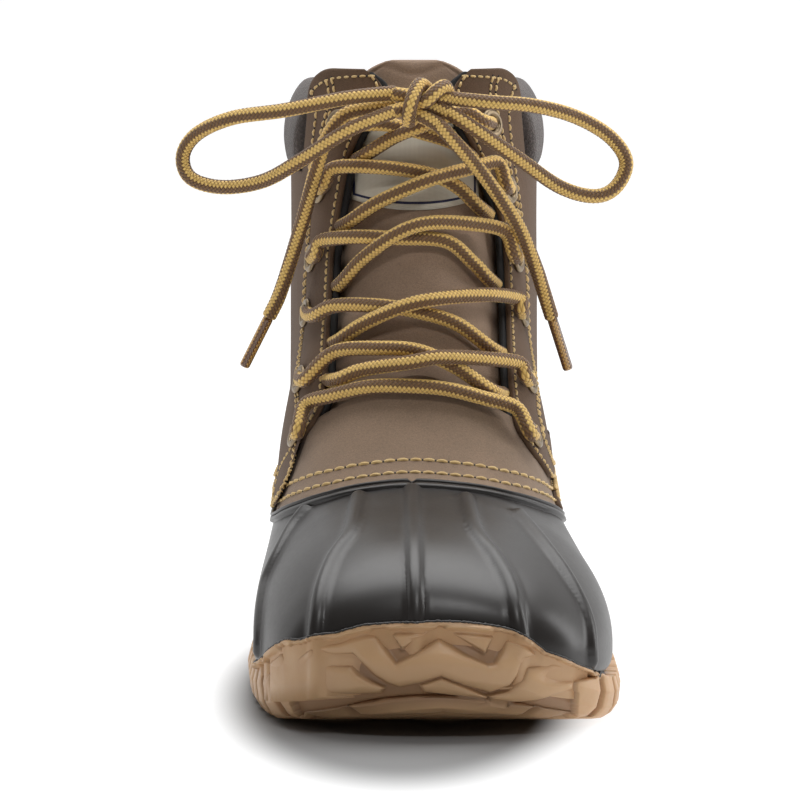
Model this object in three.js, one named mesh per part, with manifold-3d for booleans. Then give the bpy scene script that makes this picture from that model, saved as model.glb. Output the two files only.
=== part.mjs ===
// A lace-up duck boot, right foot: a moulded rubber shell on a gum sole, with a leather upper stitched to the
// shell's rim. Millimetres, +Z up. The toe points along -Y and the boot stands on z = 0, with the origin under
// the middle of its sole. +X is the inner side of the foot.
import * as THREE from "three";
import { mergeVertices } from "three/addons/utils/BufferGeometryUtils.js";
import Module from "manifold-3d";

// Driving sizes of the last and the boot.
const soleLength = 278;
const ballWidth = 104;
const instepHeight = 90;
const shaftRise = 89;
const heelHeight = 12;

// Walls, steps and clearances.
const seam = 0.3;
const leather = 2;
const quarterStep = 1.3;
const shellWall = 2.5;
const flange = 1.8;
const flangeRise = 9;
const rimStep = 1;
const rimDepth = 4.5;
const tongueDrop = 1.6;
const tongueThick = 5;
const labelThick = 0.6;
const insoleThick = 4;
const padOut = 2.7;
const padIn = 3.2;
const lugDepth = 2.2;
const lugWidth = 10;
const lugPitch = 15;
const ribRadius = 2.8;
const ribSunk = 0.9;
const eyeletRadius = 4.5;
const eyeletBore = 2.3;
const eyeletBarrel = 2.8;
const eyeletLip = 0.8;
const laceRadius = 2.25;
const agletRadius = 1.5;
const agletLength = 17;

// How finely the skins are cut into facets.
const stations = 22;
const around = 28;

// Sections of the last, fanned from upright at the toe to level at the collar. "top" is the crest of a section
// and "low" its lowest point: back is a share of the sole's length from the toe, up of the instep's height and
// rise of the shaft's rise. The ridge's place and the two half widths are shares of the ball's width, and
// widest is how far up a section is widest. The last two columns are its squareness above and below that.
const sectionColumns = [
  "topBack", "topUp", "topRise", "lowBack", "lowUp", "lowRise",
  "ridge", "outer", "inner", "widest", "crown", "base",
];
const sectionRows = [
  [0.0108, 0.322, 0, 0.0108, 0.267, 0, 0, 0, 0, 0.5, 2, 2],
  [0.0165, 0.394, 0, 0.0144, 0.2, 0, -0.019, 0.183, 0.221, 0.45, 2, 2.4],
  [0.0306, 0.456, 0, 0.0252, 0.15, 0, -0.038, 0.279, 0.346, 0.38, 2, 3],
  [0.0558, 0.508, 0, 0.0504, 0.128, 0, -0.053, 0.341, 0.435, 0.3, 2, 4],
  [0.0971, 0.559, 0, 0.0935, 0.111, 0, -0.058, 0.385, 0.5, 0.24, 2, 4.5],
  [0.1547, 0.604, 0, 0.1547, 0.1, 0, -0.058, 0.418, 0.538, 0.2, 2.1, 4.5],
  [0.2194, 0.647, 0, 0.2302, 0.1, 0, -0.058, 0.435, 0.548, 0.17, 2.15, 4.5],
  [0.2842, 0.7, 0, 0.3237, 0.1, 0, -0.058, 0.438, 0.519, 0.16, 2.2, 4.5],
  [0.3345, 0.811, 0, 0.4281, 0.106, 0, -0.054, 0.424, 0.462, 0.18, 2.3, 4.5],
  [0.3813, 0.978, 0, 0.5468, 0.117, 0, -0.05, 0.405, 0.415, 0.25, 2.3, 5],
  [0.4209, 1, 0.157, 0.7122, 0.133, 0, -0.048, 0.396, 0.399, 0.36, 2.3, 5],
  [0.4568, 1, 0.326, 0.9065, 0.139, 0, -0.048, 0.37, 0.37, 0.46, 2.3, 4],
  [0.4892, 1, 0.494, 0.9784, 0.222, 0, -0.048, 0.367, 0.367, 0.5, 2.3, 2.6],
  [0.518, 1, 0.652, 0.982, 0.533, 0, -0.048, 0.367, 0.367, 0.5, 2.3, 2.4],
  [0.5396, 1, 0.792, 0.9676, 0.978, 0, -0.048, 0.365, 0.365, 0.5, 2.3, 2.4],
  [0.5594, 1, 0.921, 0.9424, 1, 0.472, -0.048, 0.367, 0.367, 0.5, 2.3, 2.4],
  [0.5791, 1, 1.09, 0.9388, 1, 1.056, -0.048, 0.375, 0.375, 0.5, 2.3, 2.4],
];
const sections = sectionRows.map((row) => Object.fromEntries(sectionColumns.map((name, i) => [name, row[i]])));
const lastSection = sections.length - 1;

// The sole's outline, from the toe to the heel: the outer and inner edge as shares of the ball's width.
const outlineRows = [
  { back: 0, outer: 0.014, inner: 0.014 },
  { back: 0.0065, outer: -0.163, inner: 0.192 },
  { back: 0.0252, outer: -0.288, inner: 0.317 },
  { back: 0.0612, outer: -0.389, inner: 0.418 },
  { back: 0.1187, outer: -0.457, inner: 0.486 },
  { back: 0.1978, outer: -0.495, inner: 0.512 },
  { back: 0.2878, outer: -0.513, inner: 0.516 },
  { back: 0.3597, outer: -0.516, inner: 0.503 },
  { back: 0.4496, outer: -0.493, inner: 0.457 },
  { back: 0.5576, outer: -0.442, inner: 0.375 },
  { back: 0.6655, outer: -0.409, inner: 0.322 },
  { back: 0.7734, outer: -0.399, inner: 0.303 },
  { back: 0.8633, outer: -0.385, inner: 0.293 },
  { back: 0.9353, outer: -0.327, inner: 0.24 },
  { back: 0.9784, outer: -0.212, inner: 0.135 },
  { back: 1, outer: -0.043, inner: -0.043 },
];

// The height of the sole's side and the lift of its tread off the floor, as shares of the heel's height.
const soleSideRows = [
  { back: 0, top: 2.62, floor: 1 },
  { back: 0.018, top: 2.4, floor: 0.62 },
  { back: 0.043, top: 2.04, floor: 0.4 },
  { back: 0.072, top: 1.71, floor: 0.22 },
  { back: 0.108, top: 1.46, floor: 0.08 },
  { back: 0.162, top: 1.21, floor: 0 },
  { back: 0.234, top: 1.04, floor: 0 },
  { back: 0.51, top: 1.02, floor: 0 },
  { back: 0.6, top: 1.06, floor: 0.16 },
  { back: 0.69, top: 1.1, floor: 0 },
  { back: 0.83, top: 1.18, floor: 0 },
  { back: 1, top: 1.35, floor: 0.05 },
];

// The shell's rim as seen from the side: the shell lies below this line.
const rimRows = [
  { back: 0.262, up: 0.92 },
  { back: 0.2665, up: 0.672 },
  { back: 0.28, up: 0.636 },
  { back: 0.309, up: 0.593 },
  { back: 0.36, up: 0.54 },
  { back: 0.414, up: 0.508 },
  { back: 0.54, up: 0.5 },
  { back: 0.72, up: 0.545 },
  { back: 0.86, up: 0.63 },
  { back: 1.02, up: 0.7 },
];

// Half the throat's width, seen from the front, at heights of instep and shaft.
const throatRows = [
  { up: 0.45, rise: 0, half: 0.42 },
  { up: 0.556, rise: 0, half: 0.4 },
  { up: 0.633, rise: 0, half: 0.375 },
  { up: 0.689, rise: 0, half: 0.351 },
  { up: 0.744, rise: 0, half: 0.317 },
  { up: 0.822, rise: 0, half: 0.274 },
  { up: 0.911, rise: 0, half: 0.255 },
  { up: 1, rise: 0.034, half: 0.255 },
  { up: 1, rise: 0.202, half: 0.25 },
  { up: 1, rise: 0.36, half: 0.24 },
  { up: 1, rise: 0.528, half: 0.215 },
  { up: 1, rise: 0.685, half: 0.183 },
  { up: 1, rise: 0.809, half: 0.115 },
  { up: 1, rise: 0.86, half: 0.095 },
  { up: 1, rise: 0.91, half: 0.11 },
  { up: 1, rise: 0.955, half: 0.145 },
  { up: 1, rise: 1.2, half: 0.145 },
];
const vampCrest = { up: 0.988, rise: 0 };
const vampSide = { up: 0.855, rise: 0 };

// Eyelets from the lowest up: height, and distance from the ridge as a share of the ball's width.
const eyeletRows = [
  { up: 0.773, rise: 0, out: 0.338 },
  { up: 0.933, rise: 0, out: 0.33 },
  { up: 1, rise: 0.134, out: 0.316 },
  { up: 1, rise: 0.317, out: 0.3 },
  { up: 1, rise: 0.551, out: 0.277 },
  { up: 1, rise: 0.776, out: 0.224 },
];

// The collar pad, behind the eyestays.
const collar = { front: 0.64, low: 0.6, top: 0.93, backTop: 0.97 };
const upperTop = 0.96;

// Ribs that run over the toe of the shell, each from the rim down: pairs of a share of the ball's width across
// and a share of the instep's height up.
const ribRows = [
  [[-0.057, 0.655], [-0.053, 0.589], [-0.051, 0.503], [-0.048, 0.427], [-0.048, 0.364]],
  [[-0.208, 0.632], [-0.219, 0.578], [-0.277, 0.508], [-0.296, 0.461], [-0.311, 0.34]],
  [[0.095, 0.63], [0.112, 0.581], [0.176, 0.514], [0.206, 0.479], [0.222, 0.34]],
  [[-0.354, 0.58], [-0.394, 0.524], [-0.446, 0.416], [-0.465, 0.34], [-0.469, 0.208]],
  [[0.247, 0.578], [0.302, 0.522], [0.365, 0.434], [0.41, 0.329], [0.419, 0.213]],
];

const wasm = await Module();
wasm.setup();

const yAt = (back) => (back - 0.5) * soleLength;
const zAt = (p) => p.up * instepHeight + (p.rise ?? 0) * shaftRise;

// A smooth value through evenly numbered numbers, at place u.
function through(values, u) {
  const end = values.length - 1;
  const i = Math.min(Math.max(Math.floor(u), 0), end - 1);
  const t = u - i;
  const p1 = values[i];
  const p2 = values[i + 1];
  const p0 = i > 0 ? values[i - 1] : 2 * p1 - p2;
  const p3 = i + 2 <= end ? values[i + 2] : 2 * p2 - p1;
  const bend = 2 * p0 - 5 * p1 + 4 * p2 - p3;
  return 0.5 * (2 * p1 + (p2 - p0) * t + bend * t * t + (3 * p1 - p0 - 3 * p2 + p3) * t * t * t);
}

// A straight-line value of a table's column at a place given in another column.
function along(rows, from, to, at) {
  const i = rows.findIndex((row) => row[from] > at);
  if (i < 0) return rows[rows.length - 1][to];
  if (i === 0) return rows[0][to];
  const share = (at - rows[i - 1][from]) / (rows[i][from] - rows[i - 1][from]);
  return rows[i - 1][to] + share * (rows[i][to] - rows[i - 1][to]);
}

function sectionAt(u) {
  return Object.fromEntries(sectionColumns.map((name) => [name, through(sections.map((s) => s[name]), u)]));
}

// A point of the last's skin: u counts sections from the toe, and the angle goes round from the crest to the
// inner side.
function skin(u, angle) {
  const s = sectionAt(u);
  const c = Math.cos(angle);
  const d = Math.sin(angle);
  const square = c >= 0 ? s.crown : s.base;
  const radius = (Math.abs(c) ** square + Math.abs(d) ** square) ** (-1 / square);
  const v = s.widest + (c >= 0 ? 1 - s.widest : s.widest) * radius * c;
  const lowY = yAt(s.lowBack);
  const lowZ = s.lowUp * instepHeight + s.lowRise * shaftRise;
  const topY = yAt(s.topBack);
  const topZ = s.topUp * instepHeight + s.topRise * shaftRise;
  const x = ballWidth * (s.ridge + (d >= 0 ? s.inner : s.outer) * radius * d);
  return new THREE.Vector3(x, lowY + (topY - lowY) * v, lowZ + (topZ - lowZ) * v);
}

const nudge = 0.01;
function outward(u, angle) {
  const alongU = skin(Math.min(u + nudge, lastSection), angle).sub(skin(Math.max(u - nudge, 0), angle));
  const alongA = skin(u, angle + nudge).sub(skin(u, angle - nudge));
  return alongA.cross(alongU).normalize();
}

// The skin moved out by a distance, or in where that is negative.
function shifted(u, angle, distance) {
  return skin(u, angle).addScaledVector(outward(u, angle), distance);
}

// The place on the moved skin that shows at x and z from the front.
function onFront(x, z, distance = 0) {
  let best = { miss: Infinity };
  for (let u = 0.3; u < lastSection; u += 0.5)
    for (let angle = -2.2; angle <= 2.2; angle += 0.2) {
      const p = shifted(u, angle, distance);
      const miss = Math.hypot(p.x - x, p.z - z) + Math.max(0, p.y + soleLength / 2) * 0.02;
      if (miss < best.miss) best = { miss, u, angle };
    }
  let { u, angle } = best;
  for (let pass = 0; pass < 12; pass++) {
    const p = shifted(u, angle, distance);
    const pu = shifted(u + nudge, angle, distance).sub(p).divideScalar(nudge);
    const pa = shifted(u, angle + nudge, distance).sub(p).divideScalar(nudge);
    const det = pu.x * pa.z - pa.x * pu.z;
    const du = ((x - p.x) * pa.z - pa.x * (z - p.z)) / det;
    const da = (pu.x * (z - p.z) - (x - p.x) * pu.z) / det;
    u = Math.min(Math.max(u + Math.max(-0.5, Math.min(0.5, du)), 0.05), lastSection - nudge);
    angle += Math.max(-0.2, Math.min(0.2, da));
  }
  return { u, angle, point: shifted(u, angle, distance), normal: outward(u, angle) };
}

// The section number at which the skin reaches a height, at an angle round the shaft.
const shaftSection = 9;
function sectionAtHeight(angle, z) {
  let low = shaftSection;
  let high = lastSection;
  for (let pass = 0; pass < 24; pass++) {
    const middle = (low + high) / 2;
    if (skin(middle, angle).z < z) low = middle;
    else high = middle;
  }
  return (low + high) / 2;
}

// Solids and their joining and cutting.
function solid(geometry) {
  const bare = new THREE.BufferGeometry().setAttribute("position", geometry.getAttribute("position"));
  if (geometry.index) bare.setIndex(geometry.index);
  const merged = mergeVertices(bare, 1e-4);
  const triVerts = [];
  for (let i = 0; i < merged.index.count; i += 3) {
    const [a, b, c] = [0, 1, 2].map((k) => merged.index.getX(i + k));
    if (a !== b && b !== c && c !== a) triVerts.push(a, b, c);
  }
  const vertProperties = new Float32Array(merged.attributes.position.array);
  const make = (verts) => new wasm.Manifold(new wasm.Mesh({ numProp: 3, vertProperties, triVerts: verts }));
  const made = make(new Uint32Array(triVerts));
  if (made.volume() > 0) return made;
  return make(new Uint32Array(triVerts.reverse()));
}

function geometryOf(shape) {
  const mesh = shape.getMesh();
  const positions = new Float32Array(mesh.numVert * 3);
  for (let i = 0; i < mesh.numVert; i++)
    positions.set(mesh.vertProperties.subarray(i * mesh.numProp, i * mesh.numProp + 3), i * 3);
  const geometry = new THREE.BufferGeometry().setAttribute("position", new THREE.BufferAttribute(positions, 3));
  geometry.setIndex(new THREE.BufferAttribute(mesh.triVerts, 1));
  return geometry;
}

// A closed surface through a grid of points: rings[j][i], closed round i, with both end rings capped.
function ringSolid(rings) {
  const count = rings[0].length;
  const points = rings.flat();
  const index = [];
  for (let j = 0; j + 1 < rings.length; j++)
    for (let i = 0; i < count; i++) {
      const a = j * count + i;
      const b = j * count + ((i + 1) % count);
      index.push(a, b, b + count, a, b + count, a + count);
    }
  for (const j of [0, rings.length - 1]) {
    const centre = rings[j].reduce((sum, p) => sum.add(p), new THREE.Vector3()).divideScalar(count);
    points.push(centre);
    const last = points.length - 1;
    for (let i = 0; i < count; i++) {
      const a = j * count + i;
      const b = j * count + ((i + 1) % count);
      index.push(...(j ? [a, b, last] : [b, a, last]));
    }
  }
  const geometry = new THREE.BufferGeometry().setFromPoints(points);
  geometry.setIndex(index);
  return solid(geometry);
}

// The whole last as one closed body, its skin moved out by a distance.
const firstSection = 0.12;
function body(distance) {
  const rings = [];
  for (let j = 0; j <= stations; j++) {
    const u = firstSection + (lastSection - firstSection) * (j / stations);
    const ring = [];
    for (let i = 0; i < around; i++) ring.push(shifted(u, (2 * Math.PI * i) / around, distance));
    rings.push(ring);
  }
  return ringSolid(rings);
}

// A curved slab that follows the last: inner and outer skins over a patch, with walls along its edges.
function slab(place, columns, rows, outer, inner) {
  const grid = (distance) => {
    const points = [];
    for (let j = 0; j <= rows; j++)
      for (let i = 0; i <= columns; i++) {
        const { u, angle } = place(i / columns, j / rows);
        points.push(shifted(u, angle, distance));
      }
    return points;
  };
  const width = columns + 1;
  const count = width * (rows + 1);
  const index = [];
  for (let j = 0; j < rows; j++)
    for (let i = 0; i < columns; i++) {
      const a = j * width + i;
      index.push(a, a + 1, a + 1 + width, a, a + 1 + width, a + width);
      const b = count + a;
      index.push(b, b + 1 + width, b + 1, b, b + width, b + 1 + width);
    }
  const wall = (a, b) => index.push(a, b + count, b, a, a + count, b + count);
  for (let i = 0; i < columns; i++) {
    wall(i, i + 1);
    wall(rows * width + i + 1, rows * width + i);
  }
  for (let j = 0; j < rows; j++) {
    wall((j + 1) * width, j * width);
    wall(j * width + columns, (j + 1) * width + columns);
  }
  const geometry = new THREE.BufferGeometry().setFromPoints([...grid(outer), ...grid(inner)]);
  geometry.setIndex(index);
  return solid(geometry);
}

const span = 2 * soleLength;

// A prism right through the boot from side to side, from its outline in y and z.
function sidePrism(outline) {
  const shape = new THREE.Shape(outline.map(([y, z]) => new THREE.Vector2(y, z)));
  const geometry = new THREE.ExtrudeGeometry(shape, { depth: span, bevelEnabled: false });
  geometry.translate(0, 0, -span / 2);
  geometry.applyMatrix4(new THREE.Matrix4().set(0, 0, 1, 0, 1, 0, 0, 0, 0, 1, 0, 0, 0, 0, 0, 1));
  return solid(geometry);
}

// A prism through the front of the boot as far back as y, from its outline in x and z.
function frontPrism(outline, y) {
  const shape = new THREE.Shape(outline.map(([x, z]) => new THREE.Vector2(x, z)));
  const geometry = new THREE.ExtrudeGeometry(shape, { depth: span, bevelEnabled: false });
  geometry.rotateX(Math.PI / 2);
  geometry.translate(0, y, 0);
  return solid(geometry);
}

// An upright prism from its outline in x and y.
function uprightPrism(outline, low, high) {
  const shape = new THREE.Shape(outline.map(([x, y]) => new THREE.Vector2(x, y)));
  const geometry = new THREE.ExtrudeGeometry(shape, { depth: high - low, bevelEnabled: false });
  geometry.translate(0, 0, low);
  return solid(geometry);
}

// A round tube along points, with flat ends.
function tube(points, radius, steps, sides = 8) {
  const path = new THREE.CatmullRomCurve3(points, false, "centripetal");
  const shape = new THREE.Shape();
  for (let i = 0; i < sides; i++) {
    const turn = (2 * Math.PI * i) / sides;
    const corner = [radius * Math.cos(turn), radius * Math.sin(turn)];
    if (i) shape.lineTo(...corner);
    else shape.moveTo(...corner);
  }
  shape.closePath();
  return solid(new THREE.ExtrudeGeometry(shape, { steps, extrudePath: path, bevelEnabled: false }));
}

function turned(profile, sides, place, normal) {
  const geometry = new THREE.LatheGeometry(profile.map(([r, h]) => new THREE.Vector2(r, h)), sides);
  const turn = new THREE.Quaternion().setFromUnitVectors(new THREE.Vector3(0, 1, 0), normal);
  geometry.applyQuaternion(turn);
  geometry.translate(place.x, place.y, place.z);
  return solid(geometry);
}

const ridgeX = sections[lastSection].ridge * ballWidth;
// Planes well clear of the boot, where the cutting prisms end.
const skyZ = 2 * (instepHeight + shaftRise);
const underZ = -heelHeight;
const frontY = yAt(-0.2);
const backY = yAt(1.2);

// The region below the rim, moved up by a distance.
function belowRim(up) {
  const line = rimRows.map((row) => [yAt(row.back), row.up * instepHeight + up]);
  const [start] = line[0];
  const [, end] = line[line.length - 1];
  return sidePrism([
    [frontY, underZ], [backY, underZ], [backY, end], ...line.reverse(), [start, skyZ], [frontY, skyZ],
  ]);
}

// The front region between the two quarters' edges, from a height up: seen from the front.
function throatOutline(from) {
  const rows = throatRows.map((row) => ({ z: zAt(row), half: row.half * ballWidth }));
  const first = { z: from, half: along(rows, "z", "half", from) };
  const edge = [first, ...rows.filter((row) => row.z > from)];
  const right = edge.map(({ z, half }) => [ridgeX + half, z]);
  const left = edge.map(({ z, half }) => [ridgeX - half, z]).reverse();
  return [...right, ...left];
}

const shaftMiddleY = yAt(0.74);
const skinBody = body(0);
const shellRegion = belowRim(0);

// The gum outsole: a cup with a tread of zigzag lugs that run up its side and over the toe.
const sidePlaces = 20;
function outlineAt(p, inset) {
  const n = outlineRows.length;
  const ringRows = [...outlineRows, ...outlineRows.slice(1, -1).reverse()];
  const at = (k) => {
    const i = ((k % ringRows.length) + ringRows.length) % ringRows.length;
    const row = ringRows[i];
    return new THREE.Vector2(ballWidth * (i < n ? row.outer : row.inner), yAt(row.back));
  };
  const i = Math.floor(p);
  const t = p - i;
  const [p0, p1, p2, p3] = [at(i - 1), at(i), at(i + 1), at(i + 2)];
  const cubic = (a, b, c, d, w) =>
    0.5 * (2 * b + (c - a) * w + (2 * a - 5 * b + 4 * c - d) * w * w + (3 * b - a - 3 * c + d) * w * w * w);
  const slope = (a, b, c, d, w) =>
    0.5 * (c - a + 2 * (2 * a - 5 * b + 4 * c - d) * w + 3 * (3 * b - a - 3 * c + d) * w * w);
  const point = new THREE.Vector2(cubic(p0.x, p1.x, p2.x, p3.x, t), cubic(p0.y, p1.y, p2.y, p3.y, t));
  const way = new THREE.Vector2(slope(p0.x, p1.x, p2.x, p3.x, t), slope(p0.y, p1.y, p2.y, p3.y, t)).normalize();
  return point.add(new THREE.Vector2(way.y, -way.x).multiplyScalar(inset));
}

const outlineCount = 2 * (outlineRows.length - 1);
function soleForm(inset, lift, topDrop) {
  // From the tread up: how far in each layer's edge lies, and its share of the side's height.
  const layers = [
    { in: 3, up: 0 },
    { in: 0.4, up: 0.25 },
    { in: 0, up: 0.6 },
    { in: 1.2, up: 1 },
  ];
  const rings = layers.map((layer) => {
    const ring = [];
    for (let i = 0; i < 2 * sidePlaces; i++) {
      const p = (outlineCount * i) / (2 * sidePlaces);
      const edge = outlineAt(p, 0);
      const back = edge.y / soleLength + 0.5;
      const floor = along(soleSideRows, "back", "floor", back) * heelHeight + lift;
      const top = along(soleSideRows, "back", "top", back) * heelHeight - topDrop;
      const place = outlineAt(p, layer.in + inset);
      ring.push(new THREE.Vector3(place.x, place.y, floor + (top - floor) * layer.up));
    }
    return ring;
  });
  const count = 2 * sidePlaces;
  const index = [];
  for (let j = 0; j + 1 < rings.length; j++)
    for (let i = 0; i < count; i++) {
      const a = j * count + i;
      const b = j * count + ((i + 1) % count);
      index.push(a, b, b + count, a, b + count, a + count);
    }
  // Each end is closed by a ladder of rungs between the outer and the inner edge.
  for (const j of [0, rings.length - 1])
    for (let i = 0; i < sidePlaces; i++) {
      const [a, b] = [j * count + i, j * count + i + 1];
      const [c, d] = [j * count + ((count - i) % count), j * count + count - i - 1];
      index.push(...(j ? [a, b, d, a, d, c] : [a, d, b, a, c, d]));
    }
  const geometry = new THREE.BufferGeometry().setFromPoints(rings.flat());
  geometry.setIndex(index);
  return solid(geometry);
}

// One zigzag bar across, as an outline: place along the tread against place across it.
const zigzagHalf = 17;
const zigzagRise = 7;
function zigzag(at, width) {
  const reach = 4;
  const edge = (shift) => {
    const line = [];
    for (let k = -reach; k <= reach; k++) line.push([k * zigzagHalf, at + shift + (k % 2 ? zigzagRise : 0)]);
    return line;
  };
  return [...edge(-width / 2), ...edge(width / 2).reverse()];
}

const toeLugBack = 0.045;
function treadBars() {
  const bars = [];
  const count = Math.floor(((1 - toeLugBack) * soleLength + zigzagRise) / lugPitch) + 1;
  for (let k = 0; k < count; k++)
    bars.push(uprightPrism(zigzag(yAt(1) - lugWidth / 2 - k * lugPitch, lugWidth), underZ, 3 * heelHeight));
  return bars;
}

function toeBars() {
  const bars = [];
  const rows = [0.15, 1.05, 1.95, 2.85];
  for (const row of rows) {
    const outline = zigzag(0, 0.7 * lugWidth).map(([x, z]) => [x + ridgeX + zigzagHalf, row * heelHeight - z]);
    bars.push(frontPrism(outline, yAt(toeLugBack)));
  }
  return bars;
}

const ribSteps = 7;
const ribSides = 6;
const ribTubes = (radius) =>
  ribRows.map((row) => {
    const line = row.map(([x, z]) => onFront(x * ballWidth, z * instepHeight, -ribSunk).point);
    return tube(line, radius, ribSteps, ribSides);
  });
const cupCut = wasm.Manifold.union([body(seam), ...ribTubes(ribRadius + seam)]);
const base = soleForm(lugDepth, lugDepth, 0.6);
const full = soleForm(0, 0, 0);
const lugs = [...treadBars(), ...toeBars()].map((bar) => bar.intersect(full));
const largest = (shape) => shape.decompose().sort((a, b) => b.volume() - a.volume())[0];
const outsole = largest(wasm.Manifold.union([base, ...lugs]).subtract(cupCut));

// The rubber shell: a hollow lower with a rim, a flange inside the leather and ribs over the toe. It is open
// underneath, where the sole and insole close it.
const shellLow = skinBody.intersect(shellRegion);
const rimBand = body(rimStep).intersect(shellRegion.subtract(belowRim(-rimDepth)));
const flangeBody = body(-leather - seam).intersect(belowRim(flangeRise));
const ribs = ribTubes(ribRadius).map((rib) => rib.intersect(belowRim(-rimStep)));
const hollow = body(-leather - seam - flange).add(body(-shellWall).intersect(belowRim(-rimDepth - 1)));
const footbedInset = 15;
const footbed = [];
for (let i = 0; i < sidePlaces; i++) {
  const p = outlineAt((outlineCount * i) / sidePlaces, footbedInset);
  footbed.push([p.x, p.y]);
}
const shell = wasm.Manifold.union([shellLow, rimBand, flangeBody, ...ribs])
  .subtract(hollow)
  .subtract(uprightPrism(footbed, underZ, 2 * heelHeight));

// The leather upper: vamp and quarters in one hollow wall. The quarters are a step out from the vamp.
const quarterFrom = 0.46 * instepHeight;
const aboveRim = belowRim(seam);
const vampLow = zAt(vampSide);
const quarterFront = frontPrism(throatOutline(quarterFrom), yAt(0.45))
  .add(frontPrism(throatOutline(vampLow), shaftMiddleY));
const throatCut = () => {
  const outline = throatOutline(vampLow);
  const crest = [];
  const across = 6;
  const half = (outline[0][0] - outline[outline.length - 1][0]) / 2;
  for (let k = 1; k < across; k++) {
    const t = (2 * k) / across - 1;
    crest.push([ridgeX + t * half, vampLow + (zAt(vampCrest) - vampLow) * (1 - t * t)]);
  }
  return frontPrism([...outline, ...crest], shaftMiddleY);
};
const topZ = zAt({ up: 1, rise: upperTop });
const collarLowZ = zAt({ up: 1, rise: collar.low });
const flap = { baseY: yAt(collar.front) + 4, shoulderY: yAt(collar.front) - 1, shoulderZ: topZ - 5, round: 4 };
const legRegion = sidePrism([
  [frontY, 0], [backY, 0], [backY, collarLowZ - seam], [flap.baseY, collarLowZ - seam],
  [flap.shoulderY, flap.shoulderZ], [flap.shoulderY - flap.round, topZ], [frontY, topZ],
]);
const eyelets = [];
for (const side of [-1, 1])
  eyeletRows.forEach((row, i) => {
    const spot = onFront(ridgeX + side * row.out * ballWidth, zAt(row), quarterStep);
    eyelets.push({ name: `eyelet_${side < 0 ? "outer" : "inner"}_${i + 1}`, side, row: i, ...spot });
  });
const eyeletSides = 10;
const holeReach = 12;
const eyeletHole = (e) => {
  const radius = eyeletBarrel + seam;
  const profile = [[0, -holeReach], [radius, -holeReach], [radius, holeReach], [0, holeReach]];
  return turned(profile, eyeletSides, e.point, e.normal);
};
const upper = skinBody
  .add(body(quarterStep).subtract(quarterFront))
  .intersect(legRegion)
  .subtract(aboveRim)
  .subtract(body(-leather))
  .subtract(throatCut())
  .subtract(wasm.Manifold.union(eyelets.map(eyeletHole)));

// The padded collar behind the eyestays.
const padSteps = 26;
function collarPad() {
  const frontAngle = 0.85;
  const profile = [
    { t: -padIn * 0.9, h: 0.04 }, { t: 0.9, h: 0 }, { t: padOut * 0.85, h: 0.16 }, { t: padOut, h: 0.45 },
    { t: padOut * 0.9, h: 0.75 }, { t: padOut * 0.3, h: 0.95 }, { t: -padIn * 0.4, h: 1 },
    { t: -padIn, h: 0.85 }, { t: -padIn * 1.15, h: 0.45 },
  ];
  const rings = [];
  for (let i = 0; i <= padSteps; i++) {
    const angle = frontAngle + (2 * Math.PI - 2 * frontAngle) * (i / padSteps);
    const behind = 0.5 - 0.5 * Math.cos((2 * Math.PI * i) / padSteps);
    const top = zAt({ up: 1, rise: collar.top + (collar.backTop - collar.top) * behind });
    rings.push(profile.map(({ t, h }) => {
      const z = collarLowZ + (top - collarLowZ) * h;
      return shifted(sectionAtHeight(angle, z), angle, t);
    }));
  }
  const back = sidePrism([
    [flap.baseY + seam, instepHeight], [backY, instepHeight], [backY, skyZ], [flap.shoulderY + seam, skyZ],
    [flap.shoulderY + seam, flap.shoulderZ], [flap.baseY + seam, collarLowZ - seam],
  ]);
  return ringSolid(rings).intersect(back);
}

// The padded tongue, tucked under the vamp and standing a little above the eyestays.
const tongueFoot = { up: 0.78, rise: 0 };
const tongueTop = { up: 1, rise: 1 };
const tongueHalf = 0.31;
const tongueTopHalf = 0.19;
const tongueSkin = -leather - tongueDrop;
const tongueShoulder = 0.82;
const widestReach = 0.97;
function tonguePlace(i, j) {
  const u = sectionAtHeight(0, zAt(tongueFoot)) * (1 - j) + sectionAtHeight(0, zAt(tongueTop)) * j;
  const taper = Math.max(0, j - tongueShoulder) / (1 - tongueShoulder);
  const half = tongueHalf + (tongueTopHalf - tongueHalf) * taper * taper;
  const reach = Math.asin(Math.min(half / sectionAt(u).outer, widestReach));
  return { u, angle: (2 * i - 1) * reach };
}
const tongue = slab(tonguePlace, 10, 12, tongueSkin, tongueSkin - tongueThick);

// A plain woven patch sewn on the tongue, with a rounded lower edge.
const labelShape = { low: 0.515, sag: 0.02, top: 0.792, reach: 0.593 };
const labelPlace = (i, j) => {
  const low = zAt({ up: 1, rise: labelShape.low + labelShape.sag * (2 * i - 1) ** 2 });
  const high = zAt({ up: 1, rise: labelShape.top });
  const angle = (2 * i - 1) * labelShape.reach;
  return { u: sectionAtHeight(angle, low) * (1 - j) + sectionAtHeight(angle, high) * j, angle };
};
const label = slab(labelPlace, 8, 3, tongueSkin + seam + labelThick, tongueSkin + seam);

// The insole, a slab on the shell's turned-in edge.
function insoleSolid() {
  const lowLine = sections.slice(2, 13).map((s) => [yAt(s.lowBack), s.lowUp * instepHeight]);
  const lift = shellWall + seam + insoleThick;
  const top = lowLine.map(([y, z], i) => [y, (i === lowLine.length - 1 ? lowLine[i - 1][1] + 2 : z) + lift]);
  const region = sidePrism([[frontY, top[0][1]], [frontY, underZ], [backY, underZ], [backY, top[top.length - 1][1]],
    ...top.reverse()]);
  return body(-shellWall - seam).intersect(region);
}
const insole = insoleSolid();

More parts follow.
